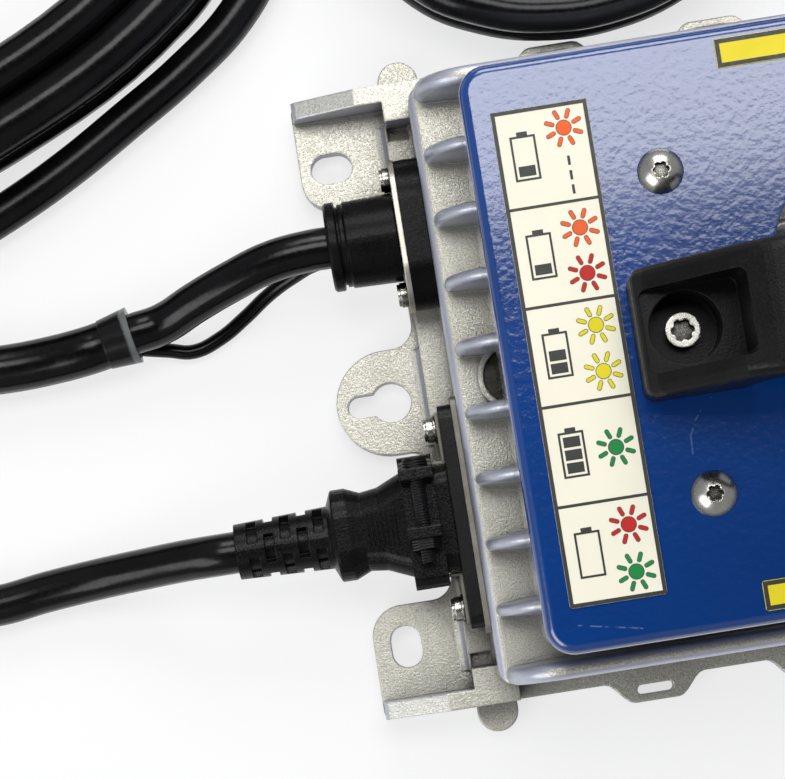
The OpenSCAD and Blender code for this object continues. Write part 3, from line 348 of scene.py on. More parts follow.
@dataclass(frozen=True)
class Finish:
    """A surface: its colour, gloss and fine structure.

    Scales are cells per metre and depths are metres. Mottle is the share by which the colour changes, gloss
    change is what the roughness gains or loses, edge gain is the share by which edges are brighter, and
    the painted shade reach is the reach in metres in which corners and recesses are painted dark as shade.
    """

    name: str
    color: Color
    roughness: float = 0.5
    metallic: float = 0.0
    mottle: float = 0.12
    mottle_scale: float = 60.0
    grain_scale: float = 900.0
    grain_depth: float = 0.00004
    gloss_change: float = 0.12
    coat: float = 0.0
    edge_radius: float = 0.0004
    edge_gain: float = 0.0
    stretch: Point = (1.0, 1.0, 1.0)
    shine: float = 0.5
    # Painted shade in corners and recesses: its reach, its colour and its share.
    painted_shade_reach: float = 0.0
    painted_shade_color: Color = srgb(24, 22, 20)
    painted_shade_share: float = 0.95
    edge_share: float = 0.7
    coat_roughness: float = 0.12

    def build(self) -> bpy.types.Material:
        """Makes the material.

        Returns:
            The material.
        """
        graph = Graph(self.name)
        cloud = graph.noise(self.mottle_scale, detail=4.0)
        fine = graph.noise(self.grain_scale, detail=2.0, stretch=self.stretch)
        shade = graph.ramp(cloud, NOISE_LOW, NOISE_HIGH)
        tone = graph.mix(shade, self.toned(-self.mottle), self.toned(self.mottle, 0.002))
        soft = graph.soft_edges(self.edge_radius) if self.edge_radius > 0.0 else None
        # Edges are made lighter by the edge gain.
        if self.edge_gain > 0.0:
            pale_marks = graph.math("MULTIPLY", graph.edge_mask(soft), self.edge_share)
            tone = graph.mix(pale_marks, tone, self.toned(self.edge_gain, 0.03 * self.edge_gain))
        # Painted shade: corners and recesses are darkened toward the shade colour.
        if self.painted_shade_reach > 0.0:
            painted_shade = graph.ramp(graph.openness(self.painted_shade_reach), 0.45, 0.95, self.painted_shade_share, 0.0)
            tone = graph.mix(painted_shade, tone, self.painted_shade_color)
        smoothest, roughest = self.roughness - self.gloss_change, self.roughness + self.gloss_change
        graph.set(
            Base_Color=tone,
            Specular_IOR_Level=self.shine,
            Metallic=self.metallic,
            Roughness=graph.ramp(fine, NOISE_LOW, NOISE_HIGH, smoothest, roughest),
            Normal=graph.bump(fine, self.grain_depth, soft),
        )
        if self.coat > 0.0:
            graph.set(Coat_Weight=self.coat, Coat_Roughness=self.coat_roughness)
        return graph.material

    def toned(self, gain: float, lift: float = 0.0) -> Color:
        """The colour made brighter or darker.

        Args:
            gain: Share by which each value grows, below zero for a darker colour.
            lift: What is added to each value after that.

        Returns:
            The new linear colour, held at 1.
        """
        red, green, blue = (min(1.0, value * (1.0 + gain) + lift) for value in self.color)
        return (red, green, blue)


@dataclass(frozen=True)
class CastFinish:
    """Die-cast aluminium: grainy on level faces, smoother on walls; painted shade on walls, in hollows and
    creases, painted highlight on edges.
    """

    name: str = "cast_housing"
    level: Color = srgb(210, 208, 195)
    # Walls: painted shade, a little darker and bluer than the level faces.
    shaded_wall: Color = srgb(190, 193, 206)
    # Painted highlight colour for the rounded edges.
    painted_edge_highlight: Color = srgb(238, 238, 240)
    stain: Color = srgb(112, 103, 88)
    shadow: Color = srgb(46, 45, 45)
    level_slope: Pair = (0.86, 0.985)
    edge_radius: float = 0.0007
    cloud_scale: float = 38.0
    pit_scale: float = 3400.0
    grain_scale: float = 1700.0
    grain_depth: float = 0.00009
    stain_share: float = 0.22
    # Share of the painted highlight on the rounded edges.
    painted_edge_highlight_share: float = 0.2
    hollow_reach: float = 0.012
    hollow_share: float = 0.5
    crease_reach: float = 0.0032
    crease_share: float = 0.8
    metallic: float = 0.7
    roughness: Pair = (0.34, 0.50)

    def build(self) -> bpy.types.Material:
        """Makes the material.

        Returns:
            The material.
        """
        graph = Graph(self.name)
        soft = graph.soft_edges(self.edge_radius)
        up = graph.axis(2, graph.add("ShaderNodeNewGeometry").outputs["Normal"])
        level = graph.ramp(up, *self.level_slope)
        cloud = graph.noise(self.cloud_scale, detail=5.0)
        pits = graph.noise(self.pit_scale, detail=2.0)
        grain = graph.noise(self.grain_scale, detail=3.0)
        # Painted shade: faces turn from the level colour to the darker wall colour as they tilt.
        tone = graph.mix(level, self.shaded_wall, self.level)
        cloudy = graph.math("MULTIPLY", graph.ramp(cloud, 0.45, 0.75), self.stain_share)
        tone = graph.mix(cloudy, tone, self.stain)
        speck = graph.math("MULTIPLY", graph.ramp(pits, 0.48, 0.66), graph.ramp(level, 0.0, 1.0, 0.08, 0.45))
        tone = graph.mix(speck, tone, self.stain)
        # Painted highlight: rounded edges mixed toward the highlight colour.
        pale_marks = graph.math("MULTIPLY", graph.edge_mask(soft), self.painted_edge_highlight_share)
        tone = graph.mix(pale_marks, tone, self.painted_edge_highlight)
        hollow = graph.ramp(graph.openness(self.hollow_reach), 0.25, 0.9, self.hollow_share, 0.0)
        crease = graph.ramp(graph.openness(self.crease_reach), 0.40, 0.85, self.crease_share, 0.0)
        tone = graph.mix(graph.math("MAXIMUM", hollow, crease), tone, self.shadow)
        height = graph.math("ADD", graph.math("MULTIPLY", pits, 0.4), grain)
        height = graph.math("MULTIPLY", height, graph.ramp(level, 0.0, 1.0, 0.3, 1.0))
        graph.set(
            Base_Color=tone,
            Metallic=self.metallic,
            Roughness=graph.ramp(grain, NOISE_LOW, NOISE_HIGH, *self.roughness),
            Normal=graph.bump(height, self.grain_depth, soft),
        )
        return graph.material


@dataclass(frozen=True)
class CoverFinish:
    """Deep blue powder coat with orange peel, a glossy skin, a few faint scratches and a painted highlight
    along its edges.
    """

    name: str = "blue_cover"
    color: Color = srgb(2, 55, 124)
    # Pale colour of the scratches, and of the painted highlight along the edges.
    pale_marks: Color = srgb(120, 138, 176)
    dark_share: float = 0.82
    edge_radius: float = 0.0006
    cloud_scale: float = 16.0
    peel_scale: float = 620.0
    fine_scale: float = 1600.0
    peel_depth: float = 0.00007
    shine: float = 0.6
    roughness: float = 0.14
    coat: float = 0.9
    coat_roughness: float = 0.10
    # Share of the painted highlight along the edges.
    edge_share: float = 0.10
    scratch_width: float = 0.00022
    scratch_share: float = 0.4
    scratch_scale: float = 700.0
    scratches: tuple[tuple[Pair, ...], ...] = (
        ((-0.0581, -0.0138), (-0.0601, -0.0155), (-0.0619, -0.0178), (-0.0633, -0.0207), (-0.0635, -0.0243)),
        ((-0.0915, -0.0545), (-0.0790, -0.0570)),
        ((0.0310, 0.0480), (0.0395, 0.0445)),
        ((0.0560, -0.0520), (0.0700, -0.0535)),
    )

    def marks(self, graph: Graph) -> Any:
        """Mask of the scratches, each a line of short segments that noise breaks up.

        Args:
            graph: The cover's nodes.

        Returns:
            The mask's socket.
        """
        marks: Any = 0.0
        for line in self.scratches:
            for start, end in zip(line, line[1:]):
                marks = graph.math("MAXIMUM", marks, graph.segment(start, end, self.scratch_width))
        broken = graph.ramp(graph.noise(self.scratch_scale, detail=2.0), 0.42, 0.56)
        return graph.math("MULTIPLY", graph.math("MULTIPLY", marks, broken), self.scratch_share)

    def build(self) -> bpy.types.Material:
        """Makes the material.

        Returns:
            The material.
        """
        graph = Graph(self.name)
        soft = graph.soft_edges(self.edge_radius)
        peel = graph.noise(self.peel_scale, detail=2.0)
        fine = graph.noise(self.fine_scale, detail=1.0)
        cloud = graph.noise(self.cloud_scale, detail=3.0)
        dark = tuple(value * self.dark_share for value in self.color)
        tone = graph.mix(graph.ramp(cloud, 0.35, 0.65), dark, self.color)
        tone = graph.mix(self.marks(graph), tone, self.pale_marks)
        # Painted highlight: edges mixed toward the pale colour.
        tone = graph.mix(graph.math("MULTIPLY", graph.edge_mask(soft), self.edge_share), tone, self.pale_marks)
        height = graph.math("ADD", peel, graph.math("MULTIPLY", fine, 0.15))
        graph.set(
            Base_Color=tone,
            Specular_IOR_Level=self.shine,
            Roughness=self.roughness,
            Coat_Weight=self.coat,
            Coat_Roughness=self.coat_roughness,
            Normal=graph.bump(height, self.peel_depth, soft),
        )
        return graph.material


@dataclass(frozen=True)
class ThreadFinish:
    """Black zinc on a screw that lies along Y, its thread showing as fine rings."""

    name: str = "screw_black"
    color: Color = srgb(30, 30, 32)
    groove: Color = srgb(12, 12, 13)
    pitch: float = 0.0006
    depth: float = 0.00012
    metallic: float = 0.4
    roughness: Pair = (0.28, 0.44)

    def build(self) -> bpy.types.Material:
        """Makes the material.

        Returns:
            The material.
        """
        graph = Graph(self.name)
        turn = graph.math("MULTIPLY", graph.axis(1), 2 * math.pi / self.pitch)
        ring = graph.math("SINE", turn)
        fine = graph.noise(900.0, detail=2.0)
        graph.set(
            Base_Color=graph.mix(graph.ramp(ring, -0.6, 0.8), self.groove, self.color),
            Metallic=self.metallic,
            Roughness=graph.ramp(fine, NOISE_LOW, NOISE_HIGH, *self.roughness),
            Normal=graph.bump(ring, self.depth, graph.soft_edges(0.0002)),
        )
        return graph.material


@dataclass(frozen=True)
class SleeveEndFinish:
    """Shrunk end of the sleeve: black, with a pale clear rim at its mouth."""

    name: str = "sleeve_clear"
    black: Color = srgb(14, 14, 15)
    rim: Color = srgb(96, 98, 98)
    mouth: Pair = (MOUTH[0] * MM, MOUTH[1] * MM)
    heading: float = MOUTH_HEADING
    rim_width: float = 0.0016
    rim_fade: float = 0.0008
    shine: float = 0.25
    roughness: float = 0.25

    def build(self) -> bpy.types.Material:
        """Makes the material.

        Returns:
            The material.
        """
        graph = Graph(self.name)
        turn = math.radians(self.heading)
        ahead = (math.cos(turn), math.sin(turn), 0.0)
        dot = graph.add("ShaderNodeVectorMath", operation="DOT_PRODUCT")
        graph.link(graph.point, dot.inputs[0])
        dot.inputs[1].default_value = ahead
        start = self.mouth[0] * ahead[0] + self.mouth[1] * ahead[1]
        along = graph.math("SUBTRACT", dot.outputs["Value"], start)
        wavy = graph.math("ADD", along, graph.math("MULTIPLY", graph.noise(300.0), 0.001))
        pale = graph.ramp(wavy, self.rim_width + self.rim_fade, self.rim_width)
        graph.set(
            Base_Color=graph.mix(pale, self.black, self.rim),
            Specular_IOR_Level=self.shine,
            Roughness=self.roughness,
            Normal=graph.bump(graph.noise(700.0), 0.00003, graph.soft_edges(0.0005)),
        )
        return graph.material


@dataclass(frozen=True)
class BoardFinish:
    """Circuit board laminate with pads and tracks."""

    name: str = "board_green"
    color: Color = srgb(22, 84, 44)
    track: Color = srgb(40, 122, 66)
    cell_scale: float = 140.0
    gap: float = 0.06
    depth: float = 0.00003
    roughness: float = 0.35

    def build(self) -> bpy.types.Material:
        """Makes the material.

        Returns:
            The material.
        """
        graph = Graph(self.name)
        cells = graph.add("ShaderNodeTexBrick")
        graph.link(graph.point, cells.inputs["Vector"])
        cells.inputs["Scale"].default_value = self.cell_scale
        cells.inputs["Mortar Size"].default_value = self.gap
        lines = cells.outputs["Fac"]
        patchy = graph.math("MULTIPLY", graph.ramp(graph.noise(90.0), 0.4, 0.6), 0.3)
        tone = graph.mix(patchy, graph.mix(lines, self.color, self.track), self.color)
        graph.set(Base_Color=tone, Roughness=self.roughness, Normal=graph.bump(lines, self.depth))
        return graph.material


def ink(name: str, color: Color, mottle: float = 0.05, shine: float = 0.25) -> Finish:
    """Finish of a printed ink: flat, even and with no rounded edges.

    Args:
        name: Name of the material.
        color: Its linear colour.
        mottle: Share by which the colour changes.
        shine: Specular level.

    Returns:
        The finish.
    """
    return Finish(name, color, 0.45, 0.0, mottle, 90.0, 900.0, 0.00001, 0.06, edge_radius=0.0, shine=shine)


# Columns: name, colour, roughness, metallic, mottle, its scale, grain scale, its depth, gloss change, coat.
FINISHES: tuple[Finish, ...] = (
    Finish("gasket", srgb(30, 30, 30), 0.75, grain_depth=0.00006),
    Finish("base_sheet", srgb(176, 176, 176), 0.36, 0.85, grain_scale=500.0, stretch=(0.08, 1.0, 1.0)),
    # The steel screws get painted shade in their recesses.
    Finish("screw_steel", srgb(204, 202, 193), 0.26, 1.0, 0.10, 300.0, 2200.0, 0.0000012, 0.03,
           painted_shade_reach=0.0032),
    Finish("handle_black", srgb(9, 9, 10), 0.36, 0.0, 0.16, 90.0, 2400.0, 0.00004, 0.08, shine=0.16),
    Finish("lens_olive", srgb(50, 48, 22), 0.22, 0.0, 0.25, 200.0, 1500.0, 0.00001, 0.06, 0.6),
    Finish("led_green", srgb(96, 190, 110), 0.2, coat=0.5),
    Finish("boot_rubber", srgb(8, 8, 8), 0.33, 0.0, 0.18, 120.0, 2200.0, 0.00004, 0.08, shine=0.11),
    Finish("zinc_plate", srgb(190, 186, 173), 0.36, 0.85, 0.16, 150.0, 1500.0, 0.000004, 0.06),
    Finish("inlet_black", srgb(12, 12, 12), 0.38, 0.0, 0.15, 120.0, 2400.0, 0.00004, 0.08, shine=0.22),
    Finish("contact_brass", srgb(214, 180, 108), 0.28, 0.95, 0.08, 200.0, 1800.0, 0.00001, 0.06),
    Finish("bright_plate", srgb(132, 130, 121), 0.48, 0.85, 0.12, 180.0, 1500.0, 0.000004, 0.06),
    Finish("clamp_black", srgb(8, 8, 8), 0.26, 0.0, 0.15, 150.0, 2400.0, 0.00003, 0.08, shine=0.25),
    Finish("connector_black", srgb(7, 7, 7), 0.30, 0.0, 0.15, 150.0, 2400.0, 0.00005, 0.08, shine=0.16),
    Finish("cord_black", srgb(6, 6, 7), 0.22, 0.0, 0.20, 60.0, 1200.0, 0.00001, 0.04, shine=0.24),
    Finish("cable_black", srgb(6, 6, 7), 0.20, 0.0, 0.20, 60.0, 1200.0, 0.00001, 0.04, shine=0.24),
    Finish("sleeve_black", srgb(6, 6, 7), 0.20, 0.0, 0.20, 50.0, 900.0, 0.000012, 0.04, shine=0.26),
    Finish("tie_black", srgb(26, 26, 27), 0.45, 0.0, 0.1, 120.0, 900.0, 0.00004, 0.06),
    Finish("connector_grey", srgb(52, 53, 56), 0.5, 0.0, 0.12, 120.0, 1300.0, 0.00005, 0.08, edge_gain=0.5),
    Finish("ferrite", srgb(52, 52, 56), 0.6, 0.2, 0.2, 180.0, 1200.0, 0.00006, 0.08),
    Finish("copper_wire", srgb(178, 98, 44), 0.3, 0.8, 0.2, 200.0, 600.0, 0.0001, 0.08,
           stretch=(0.1, 0.1, 2.0)),
    Finish("capacitor_sleeve", srgb(40, 58, 88), 0.3, 0.0, 0.1, 120.0, 900.0, 0.00002, 0.06),
    Finish("chip_black", srgb(30, 30, 31), 0.6, 0.0, 0.12, 200.0, 1800.0, 0.00004, 0.06),
    Finish("pad_white", srgb(222, 222, 226), 0.7, 0.0, 0.08, 120.0, 900.0, 0.00005, 0.06),
    Finish("label_cream", srgb(230, 226, 207), 0.48, 0.0, 0.02, 40.0, 700.0, 0.00001, 0.05,
           edge_radius=0.0, shine=0.2),
    Finish("label_yellow", srgb(222, 204, 30), 0.42, 0.0, 0.05, 60.0, 700.0, 0.00001, 0.05,
           edge_radius=0.0, shine=0.25),
    ink("print_dark", srgb(34, 36, 30), mottle=0.10, shine=0.5),
    ink("print_red", srgb(178, 30, 26)),
    ink("print_orange", srgb(224, 92, 34)),
    ink("print_yellow", srgb(212, 198, 20)),
    ink("print_green", srgb(18, 124, 60)),
)


class Palette:
    """All the materials, made once each."""

    def __init__(self) -> None:
        """Builds every finish."""
        self.materials = {item.name: item.build() for item in FINISHES}
        for special in (CastFinish(), CoverFinish(), ThreadFinish(), SleeveEndFinish(), BoardFinish()):
            self.materials[special.name] = special.build()

    def dress(self, frame: Frame) -> None:
        """Gives each CAD node the finish of its material slot.
        """
        slots = {row["node"]: row["material_slot"] for row in frame["record"]["subparts"]}
        for name, item in frame["nodes"].items():
            material = self.materials[slots[name]]
            if not item.material_slots:
                item.data.materials.append(material)
            for place in item.material_slots:
                place.material = material
            LOG.info("%s: %s", name, material.name)


@dataclass
class View:
    """The photograph's camera: a pinhole that looks almost straight down.

    The point straight under the eye falls on the nadir pixel, and the turn is the cosine and sine of the
    charger's angle in the picture.
    """

    eye: Point = (-0.1151, -0.0407, 0.600)
    focal_px: float = 2625.0
    nadir_px: Pair = (450.0, 575.0)
    size_px: tuple[int, int] = (785, 779)
    turn: Pair = (0.98777, 0.15590)

    def build(self) -> None:
        """Places the camera, with its axis through the middle of the picture and an unshifted lens."""
        cos, sin = self.turn
        right = Vector((cos, -sin, 0.0))
        up = Vector((sin, cos, 0.0))
        across = self.size_px[0] / 2 - self.nadir_px[0]
        above = self.nadir_px[1] - self.size_px[1] / 2
        down = Vector((0, 0, -1))
        axis = (right * (across / self.focal_px) + up * (above / self.focal_px) + down).normalized()
        side = axis.cross(up).normalized()
        top = side.cross(axis).normalized()
        basis = Matrix((side, top, -axis)).transposed().to_4x4()
        data = bpy.data.cameras.new("camera")
        data.sensor_fit = "HORIZONTAL"
        data.angle = 2 * math.atan(self.size_px[0] / 2 / (self.focal_px / axis.dot(down)))
        data.clip_start = 0.01
        camera = bpy.data.objects.new("camera", data)
        camera.matrix_world = Matrix.Translation(self.eye) @ basis
        scene = bpy.context.scene
        scene.collection.objects.link(camera)
        scene.camera = camera


class FarEnd(Enum):
    """What is on the far end of a cord."""

    PLUG = "plug"
    CONNECTOR = "connector"
    FITTING = "fitting"


def smooth(value: Array) -> Array:
    """Smooth step of a value held between 0 and 1.

    Args:
        value: The values.

    Returns:
        The eased values.
    """
    held = np.clip(value, 0.0, 1.0)
    return held * held * (3.0 - 2.0 * held)


@dataclass
class Coil:
    """A flat coil wound clockwise, two turns wide and two high, round one centre or an oval of two.

    Lengths are in millimetres and angles in degrees. A place in a turn is an angle from the entry, going
    clockwise. Each turn keeps its radius and height and moves to the next turn's over its last degrees,
    the shift, so that the cord never lies in itself. The first turn comes in from the entry radius over
    the lead-in. The tail lies on the turns and goes on to its end.
    """

    first: Pair
    second: Pair
    heading: float
    outer: float
    diameter: float
    entry: float
    entry_radius: float
    tail_end: float
    turns: int = 4
    step: float = 15.0
    shortest_step: float = 0.4
    shift: float = 52.0
    lead_in: float = 40.0

    def levels(self) -> list[Pair]:
        """Radius and height of each turn, then of the tail, in millimetres.

        Returns:
            The pairs.
        """
        d = self.diameter
        inner = self.outer - d
        turns = [(self.outer, d / 2), (inner, d / 2), (inner, 1.5 * d), (self.outer, 1.5 * d)]
        tail = (inner, 2.5 * d)
        return [*turns, tail]

    def points(self) -> Array:
        """Points of the coil and of its tail.

        Each point is its turn's centre plus its turn's radius along the angle, at its turn's height. The
        second centre serves the half of each turn that lies on the heading's side.

        Returns:
            An array of points in millimetres.
        """
        levels = self.levels()
        last = 360.0 * self.turns + (self.entry - self.tail_end) % 360.0
        run = np.append(np.arange(self.step, last - self.shortest_step * self.step, self.step), last)
        turn = np.minimum((run // 360.0).astype(int), self.turns)
        into = run - 360.0 * turn
        table = np.array([*levels, levels[-1]])
        ease = smooth((into - (360.0 - self.shift)) / self.shift)
        ease = np.where(turn >= self.turns, 0.0, ease)[:, None]
        level = table[turn] * (1.0 - ease) + table[turn + 1] * ease
        lead = 1.0 - smooth(run / self.lead_in)
        radius = level[:, 0] + (self.entry_radius - self.outer) * lead
        angle = np.radians(self.entry - run)
        side = np.cos(angle - math.radians(self.heading))
        share = (side > -1e-6).astype(float)[:, None]
        base = np.array(self.first) * (1.0 - share) + np.array(self.second) * share
        flat = base + radius[:, None] * np.stack([np.cos(angle), np.sin(angle)], axis=1)
        return np.column_stack([flat, level[:, 1]])


@dataclass
class Cord:
    """A free cord along a smooth line, with its real length and diameter.

    Lengths are in millimetres. The first points of a cord may be thinner: thin points says how many, and
    thin is the share of the diameter that they have. Knot steps divide the line between two points, and
    round steps a quarter of its section.
    """

    name: str
    finish: str
    diameter: float
    route: Sequence[Point]
    stands_for: tuple[str, ...]
    far_end: FarEnd
    far_pieces: tuple[str, ...]
    lay: str = "loose"
    coil: Optional[Coil] = None
    thin_points: int = 0
    thin: float = 1.0
    knot_steps: int = 6
    round_steps: int = 5

    def points(self) -> Array:
        """All the points of the line.

        Returns:
            An array of points in millimetres.
        """
        route = np.array(self.route, dtype=float)
        return route if self.coil is None else np.vstack([route, self.coil.points()])

    def build(self, frame: Frame, palette: Palette) -> None:
        """Args:
            palette: The materials.
        """
        points = self.points() * MM
        curve = bpy.data.curves.new(self.name, "CURVE")
        curve.dimensions = "3D"
        curve.resolution_u = self.knot_steps
        curve.bevel_depth = self.diameter * MM / 2
        curve.bevel_resolution = self.round_steps
        curve.use_fill_caps = True
        spline = curve.splines.new("BEZIER")
        spline.bezier_points.add(len(points) - 1)
        spline.bezier_points.foreach_set("co", points.ravel())
        for knot in spline.bezier_points:
            knot.handle_left_type = knot.handle_right_type = "AUTO"
        for knot in spline.bezier_points[: self.thin_points]:
            knot.radius = self.thin
        item = bpy.data.objects.new(self.name, curve)
        bpy.context.scene.collection.objects.link(item)
        curve.materials.append(palette.materials[self.finish])
        bpy.context.view_layer.update()
        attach(item, "root")
        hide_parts(*self.stands_for)


@dataclass
class Cords:
    """The mains cord, the battery cable with its sleeve, and the sense wire, in millimetres.

    Their routes are those of the CAD cords: points listed up to the coil, then the coil's turns.
    """

    relief_end: Point = (-160.8, -28.3, 17.0)
    boot_end: Point = (-130.4, 35.4, 18.0)
    wire_start: Pair = (33.4, 10.4)
    mouth: Point = MOUTH
    mouth_heading: float = MOUTH_HEADING
    mouth_length: float = 7.0
    cable_rise: float = 1.8
    mains_diameter: float = 9.3
    lead_diameter: float = 11.2
    wire_diameter: float = 3.4
    cable_share: float = 0.85

    def at_mouth(self, along: float, side: float = 0.0, up: float = 0.0) -> Point:
        """A point near the sleeve's mouth.

        Args:
            along: Distance down the sleeve.
            side: Distance to the left of it.
            up: Distance above it.

        Returns:
            The point in millimetres.
        """
        cos, sin = math.cos(math.radians(self.mouth_heading)), math.sin(math.radians(self.mouth_heading))
        x, y, z = self.mouth
        return (x + along * cos - side * sin, y + along * sin + side * cos, z + up)

    def mains(self) -> Cord:
        """The mains cord, from the strain relief to the plug.

        Returns:
            The cord.
        """
        x, y, z = self.relief_end
        lying = self.mains_diameter / 2
        on_floor = [
            (-217, -31.5), (-235.5, -30.5), (-251.3, -21), (-260.8, -5.2), (-261.8, 13.3), (-254, 30),
            (-239.5, 41), (-221, 49.2), (-203, 56.6), (-187.2, 64.4), (-172, 73.4), (-156.9, 82.8),
            (-143.4, 93.6), (-134.4, 106.0), (-129.4, 117.7), (-126.6, 128.7),
        ]
        centre = (-66, 137.7)
        return Cord(
            name="mains_cord",
            finish="cord_black",
            diameter=self.mains_diameter,
            route=[
                (x, y, z), (x - 4, y, z), (-173, -28.3, 14.2), (-182, -28.6, 10.4), (-194, -29.2, 6.4),
                (-206, -30.2, 4.8), *((*point, lying) for point in on_floor),
            ],
            stands_for=("ac_cord", "ac_coil", "ac_tail"),
            far_end=FarEnd.PLUG,
            far_pieces=("ac_plug", "plug_pins", "ac_tie"),
            lay="coiled",
            coil=Coil(
                centre, centre, heading=0.0, outer=57.3, diameter=self.mains_diameter,
                entry=188.0, entry_radius=61.0, tail_end=90.0,
            ),
        )

    def wire(self) -> Cord:
        """The thin sense wire, from the boot to the mouth of the sleeve.

        Returns:
            The cord.
        """
        x = self.boot_end[0]
        return Cord(
            name="sense_lead",
            finish="cable_black",
            diameter=self.wire_diameter,
            route=[
                (x, *self.wire_start), (x - 2.5, *self.wire_start), (-140, 31.4, 6.8), (-146, 28.6, 4.4),
                (-152, 24.6, 2.8), (-158.5, 20.8, 1.9), (-165, 18.8, 1.7), self.at_mouth(-6, 5.4, -5.2),
                self.at_mouth(0, 3.0, -4.6),
            ],
            stands_for=("sense_wire",),
            far_end=FarEnd.FITTING,
            far_pieces=("sleeve_end",),
        )

    def lead(self) -> Cord:
        """The battery lead: the bare cable from the boot, then the sleeve to the connector.

        Returns:
            The cord.
        """
        x, y, z = self.boot_end
        bare = [
            (x, y, z), (x - 4, y, z), (-144, 34.4, 17.2), (-153, 31.8, 15.2), (-162, 28.7, 12.2),
            self.at_mouth(-7, 0.0, self.cable_rise), self.at_mouth(0, 0.0, self.cable_rise),
        ]
        sleeved = [
            self.at_mouth(self.mouth_length), self.at_mouth(self.mouth_length + 4), (-197, 21.5, 6.2),
            (-207, 21.2, 5.9), (-219, 21.8, 6.6), (-232, 22.7, 9.6), (-245, 23, 13.8), (-258.5, 23, 15.8),
            (-272, 25.2, 14.2), (-285, 31.2, 10.4), (-295.5, 41, 7.2), (-302.3, 54, 5.8),
            (-304.6, 69, 5.6), (-303.4, 84, 5.6), (-299.4, 99, 5.6), (-293.4, 112.5, 5.6),
        ]
        return Cord(
            name="battery_lead",
            finish="sleeve_black",
            diameter=self.lead_diameter,
            route=bare + sleeved,
            stands_for=("dc_cable", "dc_sleeve", "dc_coil", "dc_tail"),
            far_end=FarEnd.CONNECTOR,
            far_pieces=("dc_connector", "dc_contacts", "dc_tie"),
            lay="coiled",
            coil=Coil(
                (-223.8, 124.8), (-194.4, 140.5), heading=28.1, outer=57.0, diameter=self.lead_diameter,
                entry=190.0, entry_radius=67.0, tail_end=90.0,
            ),
            thin_points=len(bare),
            thin=self.cable_share,
        )

    def build(self, frame: Frame, palette: Palette) -> None:
        """Lays all the cords.

        Args:
            palette: The materials.
        """
        for cord in (self.mains(), self.wire(), self.lead()):
            cord.build(frame, palette)


